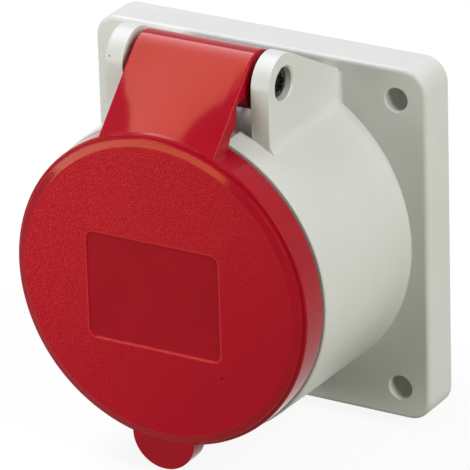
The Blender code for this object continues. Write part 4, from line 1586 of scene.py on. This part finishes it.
    def _arm(self) -> Solid:
        """Crowned arm with its barrel and side webs.

        Returns:
            The arm, to be fused.
        """
        web = self.arm_half - self.web
        plate, count = web - self.web_draft, self.arm_columns
        right = [(web, True, 0.0)]
        for i in range(5):
            angle = math.radians(90.0 * i / 4)
            x = self.arm_half - self.round_over * (1.0 - math.sin(angle))
            right.append((x, True, self.round_over * (1.0 - math.cos(angle))))
        middle = [(plate * (2 * i / count - 1), False, 0.0) for i in range(count + 1)]
        left = [(-x, webbed, inset) for x, webbed, inset in reversed(right)]
        sections = [*left, *middle, *right]
        return Bench.skin("arm", [self._arm_ring(*section) for section in sections])

    def _tab_outline(self, grow: float = 0.0) -> list[Point]:
        """Outline of the thumb tab, a half round that starts inside the rim.

        Args:
            grow: How much larger its radius is.

        Returns:
            Corners in x and z.
        """
        radius = self.tab_radius + grow
        tip = arc((0.0, self.tab_radius - self.tab_reach), radius, -180.0, 0.0, steps=40)
        return [(-radius, -self.tab_root), *tip, (radius, -self.tab_root)]

    def _tab(self) -> Solid:
        """Thumb tab with rounded edges and a hollow behind.

        Returns:
            The tab, to be fused.
        """
        tab = Bench.layer("tab", self._tab_outline(), self.tab_front, self.tab_back)
        low, wall = -self.tab_root - 1.0, self.tab_wall
        Bench.round_edges(tab, self.tab_round, lambda p: p.z < low, turn=50.0)
        hollow = Bench.layer(
            "tab_hollow", self._tab_outline(-wall), self.tab_front - wall, self.tab_back - PAST
        )
        rim = self.radius + self.draft
        keep = Bench.rod("keep", rim, (0, -self.face, 0), (0, PAST - self.back, 0), steps=FINE_TURN)
        return Bench.carve(tab, Bench.carve(hollow, keep))

    def _hook(self) -> Solid:
        """Cross web behind the rim that catches a plug's nose.

        Returns:
            The web, to be fused.
        """
        low = self.radius - self.hook_drop
        front, rear = -self.back - self.hook_thickness / 2, -self.back + self.hook_thickness
        high, short = (low + rise for rise in self.hook_rise)
        outline = [(front, low), (rear, low), (rear, high), (front, short)]
        half = self.arm_half - self.web / 2
        return Bench.side_plate("hook", outline, -half, half)

    def _label_block(self, name: str, levels: Sequence[Point]) -> Solid:
        """Loft of the label field's outline through several levels.

        Args:
            name: Name of the new object.
            levels: Each level's height above the face, and how much wider it is.

        Returns:
            The solid block.
        """
        sections = []
        for rise, grow in levels:
            outline = rounded_rectangle(
                self.label.size[0] + grow, self.label.size[1] + grow, self.label.corner + grow / 2,
                self.label.centre,
            )
            sections.append([(x, -self.face - rise, z) for x, z in outline])
        return Bench.skin(name, sections)

    def _label(self) -> Solid:
        """Tool of the blank label field, with sloping walls.

        Returns:
            Tool to carve with.
        """
        slope = self.label_edge / self.label_depth
        rises = (self.label_cut, -self.label_depth)
        levels = [(rise, 2 * (rise + self.sunk) * slope) for rise in rises]
        return self._label_block("label", levels)

    def _pad(self) -> Solid:
        """Low raised pad whose rim stays as a fine ridge round the label field.

        Returns:
            The pad, to be fused.
        """
        foot = self.sunk * self.label_edge / self.label_depth
        levels = [
            (rise, 2 * (foot + self.label_ridge * (1.0 - rise / self.sunk)))
            for rise in (0.0, -self.pad_sink)
        ]
        return self._label_block("label_pad", levels)

    def _tools(self) -> list[Solid]:
        """Everything that is cut from the joined forms.

        Returns:
            Tools to carve with.
        """
        y, height = self.hinge.centre
        front, low = y - self.barrel - self.overlap, height - 2 * self.barrel
        pocket = [
            *arc((y, height), self.pocket, 0, 180, steps=24),
            (front, height - self.pocket_drop), (front, low), (y + self.pocket, low),
        ]
        reach, swing = self.barrel + PAST, self.leg_swing
        leg = [(y, height), *arc((y, height), reach, -swing, swing, steps=12)]
        across = [(x, y, height) for x in (-self.bore_half, self.bore_half)]
        x, z, size = self.pit
        return [
            Bench.turned("inside", self._inside_outline()),
            Bench.side_plate("pocket", pocket, -self.pocket_half, self.pocket_half),
            Bench.side_plate("leg_slot", leg, *self.leg_slot),
            Bench.rod("pin_bore", self.hinge.bore, *across, steps=48),
            Bench.rod("pit", size, (x, -self.face - PAST, z), (x, size - self.face, z), steps=16),
            self._label(),
        ]

    def build(self) -> Solid:
        """Model and dress the lid.

        Returns:
            The finished lid.
        """
        lid = Bench.turned("red_lid", self._cap_outline(), steps=240)
        Bench.fuse(lid, self._arm(), self._hook(), self._tab(), self._pad())
        Bench.carve(lid, *self._tools())
        return self.place(
            lid, self.palette.red, Body.LID, Slot.RED, "hinge_lid", angle=30.0
        )


@dataclass
class HingeScrew(Piece):
    """Hinge screw with a lobed socket in its head."""

    hinge: Hinge = field(default_factory=Hinge)
    shank: float = 2.0
    head: float = 3.4
    head_height: float = 1.3
    seat_depth: float = 3.0
    socket: float = 2.0
    socket_depth: float = 0.9
    tip_reach: float = 3.1
    point: Point = (0.4, 0.5)
    edge: float = 0.15
    crown: float = 0.5
    lobes: int = 6
    lobe_depth: float = 0.16
    lobe_steps: int = 72

    def build(self) -> Solid:
        """Model and dress the screw.

        Returns:
            The finished screw.
        """
        under = self.hinge.ear_outer - self.seat_depth + self.hinge.gap
        top, tip = under + self.head_height, -self.hinge.ear_inner - self.tip_reach
        crown = arc((self.head - self.crown, top - self.crown), self.crown, 0, 90, steps=5)
        outline = [
            (0.0, tip), (self.shank - self.point[0], tip), (self.shank, tip + self.point[1]),
            (self.shank, under), (self.head - self.edge, under), (self.head, under + self.edge),
            *crown, (0.0, top),
        ]
        screw = Bench.turned("hinge_screw_fine", outline, steps=64)
        lobes = []
        for i in range(self.lobe_steps):
            angle = math.tau * i / self.lobe_steps
            reach = self.socket * (1 + self.lobe_depth * math.cos(self.lobes * angle))
            lobes.append((reach * math.cos(angle), reach * math.sin(angle)))
        Bench.carve(screw, Bench.layer("drive", lobes, top + PAST, top - self.socket_depth))
        self.hinge.seat(screw)
        return self.place(
            screw, self.palette.black_steel, Body.SOCKET, Slot.STEEL, "hinge_screw"
        )


@dataclass
class LidSpring(Piece):
    """Torsion spring round the hinge screw."""

    hinge: Hinge = field(default_factory=Hinge)
    wire: float = 0.5
    coil: float = 3.3
    turns: int = 6
    half: float = 6.0
    lid_leg: float = 10.4
    lean: float = 13.0
    body_leg: float = 9.8
    steps: int = 28

    def build(self) -> Solid:
        """Wind and dress the spring.

        Returns:
            The finished spring.
        """
        y, z = self.hinge.centre
        count = self.turns * self.steps
        places: list[Vector] = []
        for i in range(count + 1):
            angle = math.tau * i / self.steps - math.pi / 2
            aside, rise = self.coil * math.cos(angle), self.coil * math.sin(angle)
            places.append(Vector((self.half * (2 * i / count - 1), y + aside, z + rise)))
        lean = math.radians(self.lean)
        first = places[0] + Vector((0.0, -math.cos(lean), -math.sin(lean))) * self.lid_leg
        rest = math.sqrt(self.hinge.floor**2 - self.half**2) + self.wire + self.hinge.gap
        fall = math.asin((z - self.coil - rest) / self.body_leg)
        last = places[-1] + Vector((0.0, math.cos(fall), -math.sin(fall))) * self.body_leg
        spring = Bench.swept("lid_spring_fine", [first, *places, last], self.wire)
        inner = (self.half - self.wire) * METRE
        ends = tuple((side * inner, y * METRE, z * METRE) for side in (-1, 1))
        return self.place(
            spring, self.palette.steel, Body.SOCKET, Slot.STEEL, "lid_spring", twist=ends
        )


@dataclass
class Seals(Piece):
    """Ring in the lid's groove and flat seal in the flange's back."""

    outer: float = 34.8
    inner: float = 33.1
    floor: float = 51.1
    lip: float = 47.9
    width: float = 79.4
    corner: float = 2.7
    least_corner: float = 0.6
    front: float = 1.5
    back: float = 0.3
    hole: float = 32.6
    fixing_radius: float = 3.05
    rib: float = 0.3
    rib_inset: float = 0.5
    rib_width: float = 1.0
    rib_sink: float = 0.4
    cut: float = 5.0

    def _lid_ring(self) -> Solid:
        """Ring with a round lip towards the collar.

        Returns:
            The finished ring.
        """
        turn = (self.outer - self.inner) / 2
        lip = arc((self.inner + turn, self.lip + turn), turn, 0, -180, steps=12)
        outline = [(self.outer, self.floor), *lip, (self.inner, self.floor)]
        ring = Bench.turned("lid_seal_fine", outline, steps=160, closed=True)
        return self.place(ring, self.palette.rubber, Body.LID, Slot.RUBBER, "lid_seal")

    def _frame(self, name: str, inset: float, front: float, back: float) -> Solid:
        """Plate in the seal's outline, drawn in by an inset.

        Args:
            name: Name of the new object.
            inset: How far it is drawn in.
            front: Distance of its front from the panel.
            back: Distance of its back from the panel.

        Returns:
            The plate.
        """
        width = self.width - 2 * inset
        outline = rounded_rectangle(width, width, max(self.corner - inset, self.least_corner))
        return Bench.layer(name, outline, front, back)

    def _flange_sheet(self) -> Solid:
        """Sheet with a raised rib along its edge and round its opening.

        Returns:
            The finished sheet.
        """
        foot, near = self.back + self.rib, self.rib_inset
        top, far = foot + self.rib_sink, near + self.rib_width
        sheet = self._frame("flange_seal_fine", 0.0, self.front, foot)
        rib = Bench.carve(
            self._frame("edge_rib", near, top, self.back),
            self._frame("edge_rib_core", far, foot + PAST, self.back - PAST),
        )
        inner, outer = self.hole + near, self.hole + far
        section = [(inner, top), (outer, top), (outer, self.back), (inner, self.back)]
        Bench.fuse(sheet, rib, Bench.turned("mouth_rib", section, steps=120, closed=True))
        ends = ((0, -self.cut, 0), (0, self.cut, 0))
        Bench.carve(sheet, Bench.rod("opening", self.hole, *ends, steps=120))
        for i, (x, z) in enumerate(CORNERS):
            ends = [(x * FIXING, y, z * FIXING) for y in (-self.cut, self.cut)]
            Bench.carve(sheet, Bench.rod(f"seal_hole_{i}", self.fixing_radius, *ends, steps=36))
        return self.place(sheet, self.palette.rubber, Body.SOCKET, Slot.RUBBER, "flange_seal")

    def build(self) -> None:
        """Model and dress both seals."""
        self._lid_ring()
        self._flange_sheet()


@dataclass
class Insulator(Piece):
    """Front cover, long carrier, base plate and rear terminal block."""

    contacts: Contacts = field(default_factory=Contacts)
    radius: float = 26.8
    front: float = 41.5
    cover: float = 1.8
    carrier_back: float = 4.5
    base_radius: float = 31.9
    base_front: float = 4.2
    base_back: float = 0.4
    terminal_radius: float = 26.5
    terminal_front: float = 0.1
    terminal_back: float = -21.0
    terminal_bore: float = 5.5
    opening_half: float = 2.9
    pin_margin: float = 0.35
    centre_bore: float = 1.9
    screw_bore: float = 1.75
    cover_round: float = 0.5
    entry_lead: float = 0.45
    dish: Point = (1.2, 0.25)
    dish_slope: float = 0.3
    carrier_round: float = 0.4
    base_rounds: Point = (0.3, 0.4)
    seat_lead: float = 0.2
    screw_lead: float = 0.3
    block_round: float = 0.9
    wire_lead: float = 0.6

    def _disc(
        self, name: str, radius: float, front: float, back: float, rounds: Point
    ) -> Solid:
        """Round plate with its front and back edges rounded by two radii.

        Args:
            name: Name of the new object.
            radius: Its radius.
            front: Distance of its front from the panel.
            back: Distance of its back from the panel.
            rounds: Radii at the front edge and the back edge, or 0 for a sharp one.

        Returns:
            The plate.
        """
        outline: list[Point] = [(0.0, front)]
        for level, turn, way in ((front, rounds[0], 1), (back, rounds[1], -1)):
            middle, start = (radius - turn, level - way * turn), 45 + 45 * way
            outline += arc(middle, turn, start, start - 90, steps=5) if turn else [(radius, level)]
        return Bench.turned(name, [*outline, (0.0, back)], steps=120)

    def _bore(
        self, name: str, radius: float, place: Vector, front: float, back: float, leads: Point
    ) -> Solid:
        """Tool of a hole with chamfers of two sizes at its front and back.

        Args:
            name: Name of the new object.
            radius: The hole's radius.
            place: Point on the hole's axis in the panel's plane.
            front: The plate's front.
            back: The plate's back.
            leads: Sizes of the front and back chamfers, or 0 for none.

        Returns:
            Tool to carve with.
        """
        outline = [(0.0, front + PAST)]
        for level, lead, way in ((front, leads[0], 1), (back, leads[1], -1)):
            wide = (radius + (lead + PAST if lead else 0.0), level + way * PAST)
            outline += [wide, (radius, level - way * lead)][::way]
        return Bench.move(Bench.turned(name, [*outline, (0.0, back - PAST)], steps=40), place)

    def _drilled(
        self, plate: Solid, radii: Sequence[float], front: float, back: float, leads: Point
    ) -> Solid:
        """Cut the contacts' holes and the centre hole.

        Args:
            plate: The plate to drill.
            radii: Radius of each contact's hole.
            front: The plate's front.
            back: The plate's back.
            leads: Sizes of the contacts' holes' front and back chamfers.

        Returns:
            The plate.
        """
        for index, radius in enumerate(radii):
            spot = self.contacts.place(index)
            Bench.carve(plate, self._bore(f"hole_{index}", radius, spot, front, back, leads))
        centre = self._bore("centre_hole", self.centre_bore, Vector(), front, back, (0.0, 0.0))
        return Bench.carve(plate, centre)

    def _cover(self) -> Solid:
        """Front plate with the pins' entry holes, each in a shallow dish.

        Returns:
            The plate.
        """
        back, rounds = self.front - self.cover, (self.cover_round, 0.0)
        plate = self._disc("contact_cover_fine", self.radius, self.front, back, rounds)
        radii = [pin + self.pin_margin for pin in self.contacts.pins]
        self._drilled(plate, radii, self.front, back, (self.entry_lead, 0.0))
        top, floor = self.front + PAST, self.front - self.dish[1]
        for index, radius in enumerate(radii):
            wide = radius + self.dish[0]
            outline = [(0.0, top), (wide + self.dish_slope, top), (wide, floor), (0.0, floor)]
            tool = Bench.turned(f"dish_{index}", outline, steps=48)
            Bench.carve(plate, Bench.move(tool, self.contacts.place(index)))
        return plate

    def _carrier(self) -> Solid:
        """Long round part whose bores house the sleeves.

        Returns:
            The long part.
        """
        contacts, gap = self.contacts, self.contacts.gap
        front, back = self.front - self.cover - gap, self.carrier_back
        rounds = (0.0, self.carrier_round)
        body = self._disc("contact_carrier_fine", self.radius, front, back, rounds)
        radii = [contacts.ring(i) + contacts.ring_wall + gap for i in contacts.indices]
        return self._drilled(body, radii, front, back, (0.0, 0.0))

    def _base(self) -> Solid:
        """Plate that is screwed to the housing's shoulder.

        Returns:
            The plate.
        """
        front, back, leads = self.base_front, self.base_back, (0.0, self.screw_lead)
        plate = self._disc("contact_base_fine", self.base_radius, front, back, self.base_rounds)
        radii = [self.contacts.collar(i) + self.contacts.gap for i in self.contacts.indices]
        self._drilled(plate, radii, front, back, (0.0, self.seat_lead))
        for i in range(SCREW_COUNT):
            hole = self._bore(f"screw_hole_{i}", self.screw_bore, screw_spot(i), front, back, leads)
            Bench.carve(plate, hole)
        return plate

    def _terminals(self) -> Solid:
        """Rear block, open at its side towards each terminal's screw.

        Returns:
            The block.
        """
        front, back, half = self.terminal_front, self.terminal_back, self.opening_half
        rounds = (0.0, self.block_round)
        block = self._disc("terminal_carrier_fine", self.terminal_radius, front, back, rounds)
        radii = [self.terminal_bore for _ in self.contacts.indices]
        self._drilled(block, radii, front, back, (0.0, self.wire_lead))
        low = (self.contacts.circle, -front - PAST, -half)
        high = (self.terminal_radius + PAST, -back + PAST, half)
        for index in self.contacts.indices:
            turn = Matrix.Rotation(-math.radians(self.contacts.degrees(index)), 4, "Y")
            opening = Bench.block(f"opening_{index}", low, high)
            Bench.carve(block, Bench.move(opening, (0.0, 0.0, 0.0), turn))
        return block

    def build(self) -> None:
        """Model and dress the four insulating pieces."""
        pieces = {
            "contact_cover": self._cover,
            "contact_carrier": self._carrier,
            "contact_base": self._base,
            "terminal_carrier": self._terminals,
        }
        for node, model in pieces.items():
            self.place(model(), self.palette.dark, Body.SOCKET, Slot.DARK, node)


@dataclass
class ContactSleeves(Piece):
    """Brass sleeves with their wire terminals and spring rings, and holes for the clamping screws.
    """

    contacts: Contacts = field(default_factory=Contacts)
    front: float = 39.4
    depth: float = 35.0
    ring_setback: float = 3.0
    ring_width: float = 3.0
    ring_opening: float = 1.2
    collar_front: float = 4.2
    collar_back: float = 0.4
    terminal: float = 5.2
    conductor: float = 3.0
    back: float = -17.0
    wire_depth: float = 12.5
    slot: float = 0.7
    slot_length: float = 15.0
    thread: float = 2.4
    lip_round: float = 0.6
    edge: float = 0.15
    collar_edge: float = 0.2
    end_edge: float = 0.4
    wire_lead: float = 0.35
    drill_point: float = 1.2
    ring_edge: float = 0.12

    def _outline(self, index: int) -> list[Point]:
        """Half section of a sleeve.

        Args:
            index: The contact's number.

        Returns:
            Corners as radius and distance in front of the panel.
        """
        bore = self.contacts.pins[index] + self.contacts.clearance
        outer, collar = self.contacts.sleeve(index), self.contacts.collar(index)
        groove = outer - self.contacts.groove
        groove_front = self.front - self.ring_setback + self.contacts.gap
        groove_back = groove_front - self.ring_width - 2 * self.contacts.gap
        bottom, drilled = self.front - self.depth, self.back + self.wire_depth
        lip, soft, end = self.lip_round, self.collar_edge, self.end_edge
        return [
            (0.0, bottom), (bore, bottom),
            *arc((bore + lip, self.front - lip), lip, 180, 90, steps=4),
            (outer - self.edge, self.front), (outer, self.front - self.edge),
            (outer, groove_front), (groove, groove_front),
            (groove, groove_back), (outer, groove_back),
            (outer, self.collar_front), (collar - soft, self.collar_front),
            (collar, self.collar_front - soft), (collar, self.collar_back + soft),
            (collar - soft, self.collar_back), (self.terminal, self.collar_back),
            (self.terminal, self.back + end), (self.terminal - end, self.back),
            (self.conductor + self.wire_lead, self.back),
            (self.conductor, self.back + self.wire_lead),
            (self.conductor, drilled), (0.0, drilled + self.drill_point),
        ]

    def _sleeve(self, index: int) -> Solid:
        """One slotted sleeve with its terminal.

        Args:
            index: The contact's number.

        Returns:
            The sleeve in its place.
        """
        name = self.contacts.names[index]
        sleeve = Bench.turned(f"sleeve_{name}_fine", self._outline(index), steps=64)
        reach, half = self.contacts.sleeve(index) + PAST, self.slot / 2
        near, far = -self.front - PAST, -self.front + self.slot_length
        middle = Vector((0.0, -self.contacts.screw_front, 0.0))
        outside = middle + self.contacts.outward(index) * 2 * reach
        Bench.carve(
            sleeve,
            Bench.block("slot_across", (-reach, near, -half), (reach, far, half)),
            Bench.block("slot_upright", (-half, near, -reach), (half, far, reach)),
            Bench.rod("thread", self.thread, middle, outside, steps=32),
        )
        return Bench.move(sleeve, self.contacts.place(index))

    def _ring(self, index: int) -> Solid:
        """Open spring ring round a sleeve's fingers.

        Args:
            index: The contact's number.

        Returns:
            The ring in its place.
        """
        name, inner, edge = self.contacts.names[index], self.contacts.ring(index), self.ring_edge
        outer, front = inner + self.contacts.ring_wall, self.front - self.ring_setback
        back, half = front - self.ring_width, self.ring_opening / 2
        outline = [
            (inner, front), (outer - edge, front), (outer, front - edge),
            (outer, back + edge), (outer - edge, back), (inner, back),
        ]
        ring = Bench.turned(f"sleeve_ring_{name}_fine", outline, steps=64, closed=True)
        low, high = (0.0, -front - PAST, -half), (outer + PAST, -back + PAST, half)
        turn = Matrix.Rotation(-math.radians(self.contacts.degrees(index)) - math.pi / 4, 4, "Y")
        Bench.carve(ring, Bench.move(Bench.block("ring_opening", low, high), Vector(), turn))
        return Bench.move(ring, self.contacts.place(index))

    def build(self) -> None:
        """Model and dress the sleeves and their rings."""
        brass, steel = self.palette.brass, self.palette.steel
        for index, name in enumerate(self.contacts.names):
            self.place(self._sleeve(index), brass, Body.SOCKET, Slot.BRASS, f"sleeve_{name}")
            self.place(self._ring(index), steel, Body.SOCKET, Slot.STEEL, f"sleeve_ring_{name}")


@dataclass
class SlottedScrews(Piece):
    """Clamping screws, the base plate's screws and the long centre screw."""

    contacts: Contacts = field(default_factory=Contacts)
    slot_width: float = 0.7
    slot_depth: float = 0.7
    terminal_seat: float = 5.5
    base_seat: float = 0.1
    centre_seat: float = -21.3
    clamp: tuple[float, ...] = (2.1, 2.6, 1.5, 2.2)
    fixing: tuple[float, ...] = (1.45, 2.4, 1.9, 8.3)
    centre: tuple[float, ...] = (1.6, 3.2, 2.0, 61.9)
    edge: float = 0.4

    def _screw(self, name: str, sizes: tuple[float, ...]) -> Solid:
        """Screw with its head towards -Y and its seat at the origin.

        Args:
            name: Name of the piece.
            sizes: Radii of shank and head, height of the head and length of the shank.

        Returns:
            The screw.
        """
        shank, head, height, reach = sizes
        crown = arc((head - self.edge, height - self.edge), self.edge, 90, 0, steps=4)
        tip = min(self.edge, shank / 2)
        outline = [
            (0.0, height), *crown, (head, 0.0), (shank, 0.0),
            (shank, -reach + tip), (shank - tip, -reach), (0.0, -reach),
        ]
        half, floor = self.slot_width / 2, -height + self.slot_depth
        low, high = (-head - PAST, -height - PAST, -half), (head + PAST, floor, half)
        screw = Bench.turned(name, outline, steps=48)
        return Bench.carve(screw, Bench.block("drive_slot", low, high))

    def _set(self, screw: Solid, place: Vector, facing: Vector, node: str) -> None:
        """Seat a screw with its head facing outwards and dress it.

        Args:
            screw: The screw.
            place: Where the middle of its seat goes.
            facing: Where its head faces.
            node: The node that it stands for.
        """
        turn = facing.to_track_quat("-Y", "Z").to_matrix()
        Bench.move(screw, place, turn)
        self.place(screw, self.palette.steel, Body.SOCKET, Slot.STEEL, node)

    def build(self) -> None:
        """Model, copy and seat the screws."""
        clamp = self._screw("terminal_screw_model", self.clamp)
        for index, name in enumerate(self.contacts.names):
            outward = self.contacts.outward(index)
            axis = self.contacts.place(index, self.contacts.screw_front)
            twin = Bench.copy(clamp, f"terminal_screw_{name}_fine")
            place = axis + outward * self.terminal_seat
            self._set(twin, place, outward, f"terminal_screw_{name}")
        bpy.data.objects.remove(clamp, do_unlink=True)
        fixing = self._screw("carrier_screw_model", self.fixing)
        back = Vector((0.0, 1.0, 0.0))
        for i in range(SCREW_COUNT):
            twin = Bench.copy(fixing, f"carrier_screw_{i + 1}_fine")
            self._set(twin, screw_spot(i, self.base_seat), back, f"carrier_screw_{i + 1}")
        bpy.data.objects.remove(fixing, do_unlink=True)
        centre = self._screw("centre_screw_fine", self.centre)
        self._set(centre, Vector((0.0, -self.centre_seat, 0.0)), back, "centre_screw")


@dataclass(frozen=True)
class PhotoCamera:
    """Camera at the photograph's angle."""

    azimuth: float = 30.716
    elevation: float = 23.605
    roll: float = -1.703
    distance: float = 1.156807
    focal_share: float = 5204.067 / 470.0
    target: Place = (0.004497, -0.03, 0.004385)
    sensor: float = 36.0
    sight: float = 10.0

    def build(self) -> bpy.types.Object:
        """Place the camera and make it the scene's.

        Returns:
            The camera.
        """
        angles = (self.azimuth, self.elevation, self.roll)
        azimuth, elevation, roll = (math.radians(angle) for angle in angles)
        flat = math.cos(elevation)
        back = Vector((math.sin(azimuth) * flat, -math.cos(azimuth) * flat, math.sin(elevation)))
        right = Vector((math.cos(azimuth), math.sin(azimuth), 0.0))
        up = right.cross(-back)
        across = math.cos(roll) * right + math.sin(roll) * up
        upright = -math.sin(roll) * right + math.cos(roll) * up
        data = bpy.data.cameras.new("photo_camera")
        data.sensor_fit = "HORIZONTAL"
        data.sensor_width = self.sensor
        data.lens = self.focal_share * self.sensor
        data.clip_end = self.sight
        camera = bpy.data.objects.new("photo_camera", data)
        bpy.context.scene.collection.objects.link(camera)
        turn = Matrix((across, upright, back)).transposed()
        eye = Vector(self.target) + back * self.distance
        camera.matrix_world = Matrix.Translation(eye) @ turn.to_4x4()
        bpy.context.scene.camera = camera
        return camera


@dataclass(frozen=True)
class SoftBox:
    """Rectangular studio lamp."""

    name: str
    place: Place
    aim: Place
    size: Point
    power: float
    colour: Colour = (1.0, 1.0, 1.0)

    def build(self) -> bpy.types.Object:
        """Hang the lamp.

        Returns:
            The lamp.
        """
        data = bpy.data.lights.new(self.name, "AREA")
        data.shape = "RECTANGLE"
        data.size, data.size_y = self.size
        data.energy = self.power
        data.color = self.colour
        lamp = bpy.data.objects.new(self.name, data)
        bpy.context.scene.collection.objects.link(lamp)
        lamp.location = self.place
        beam = Vector(self.aim) - Vector(self.place)
        lamp.rotation_euler = beam.to_track_quat("-Z", "Y").to_euler()
        return lamp


@dataclass
class Studio:
    """Pale floor, white surroundings and soft lamps."""

    floor_height: float = -0.0447
    lamps: tuple[SoftBox, ...] = (
        SoftBox(
            "overhead", (-0.605, 0.14, 1.0), (-0.605, 0.1401, 0.0),
            (0.45, 1.22), 16.2, (0.85, 0.88, 1.0),
        ),
        SoftBox(
            "right_fill", (1.0, -0.18, 0.66), (0.0, -0.02, 0.0),
            (0.7, 0.8), 11.9, (0.98, 0.97, 1.0),
        ),
        SoftBox("right_strip", (0.95, -0.3, 0.19), (0.0, -0.05, 0.0), (0.04, 0.42), 1.0),
        SoftBox("front_strip", (-0.27, -0.44, 0.022), (0.0, -0.05, 0.03), (0.42, 0.12), 1.5),
    )
    fill_strength: float = 0.14
    fill_colour: Colour = (0.97, 1.0, 0.5)
    floor_bounce: Colour = (0.1, 0.13, 0.04)
    floor_shown: Colour = (0.92, 0.92, 0.92)
    floor_glow: float = 0.9
    floor_roughness: float = 0.9
    floor_size: float = 8.0

    def build(self) -> None:
        """Set the stage."""
        self._surroundings()
        self._floor()
        for lamp in self.lamps:
            lamp.build()
        bpy.context.scene.view_settings.view_transform = "Standard"

    @staticmethod
    def _seen(graph: Graph) -> Wire:
        """One where a camera, glossy or transmission ray looks, else zero.

        Args:
            graph: The graph that it is added to.

        Returns:
            The mask.
        """
        path = graph.tree.nodes.new("ShaderNodeLightPath")
        camera, glossy, through = (
            Wire(graph, path.outputs[name])
            for name in ("Is Camera Ray", "Is Glossy Ray", "Is Transmission Ray")
        )
        return camera.most(glossy).most(through)

    def _surroundings(self) -> None:
        """White where it is seen or mirrored, and a faint yellowish fill as a light."""
        world = bpy.data.worlds.new("studio")
        bpy.context.scene.world = world
        world.use_nodes = True
        graph = Graph.of_tree(world.node_tree)
        shown = graph.node(
            "ShaderNodeBackground", {}, {"Color": WHITE, "Strength": 1.0}
        )
        fill = graph.node(
            "ShaderNodeBackground",
            {},
            {"Color": (*self.fill_colour, 1.0), "Strength": self.fill_strength},
        )
        blend = graph.node("ShaderNodeMixShader", {}, {0: self._seen(graph), 1: fill, 2: shown})
        graph.feed(graph.tree.nodes["World Output"].inputs["Surface"], blend)

    def _floor(self) -> None:
        """Broad pale floor that keeps the socket's shadow."""
        Bench.clear()
        place = (0, 0, self.floor_height)
        bpy.ops.mesh.primitive_plane_add(size=self.floor_size, location=place)
        floor = bpy.context.object
        floor.name = "studio_floor"
        graph = Graph("studio_white")
        seen = self._seen(graph)
        colour = graph.mix(seen, self.floor_bounce, self.floor_shown)
        graph.set(Base_Color=colour, Roughness=self.floor_roughness)
        glow = graph.node(
            "ShaderNodeEmission", {}, {"Color": WHITE, "Strength": 1.0}
        )
        plain = Wire(graph, graph.shader.outputs[0])
        inputs = {0: seen * self.floor_glow, 1: plain, 2: glow}
        blend = graph.node("ShaderNodeMixShader", {}, inputs)
        graph.feed(graph.tree.nodes["Material Output"].inputs["Surface"], blend)
        floor.data.materials.append(graph.material)


def main() -> None:
    """Build the dressed socket, its stage and its camera."""
    logging.basicConfig(level=logging.INFO, format="%(name)s: %(message)s")
    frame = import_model()
    PhotoCamera().build()
    Studio().build()
    palette = Palette()
    hinge = Hinge()
    Housing(palette, hinge).build()
    Lid(palette, hinge).build()
    HingeScrew(palette, hinge).build()
    LidSpring(palette, hinge).build()
    Seals(palette).build()
    contacts = Contacts()
    Insulator(palette, contacts).build()
    ContactSleeves(palette, contacts).build()
    SlottedScrews(palette, contacts).build()
    LOG.info("%d nodes are replaced by finer pieces", len(frame["nodes"]))


if __name__ == "__main__":
    main()
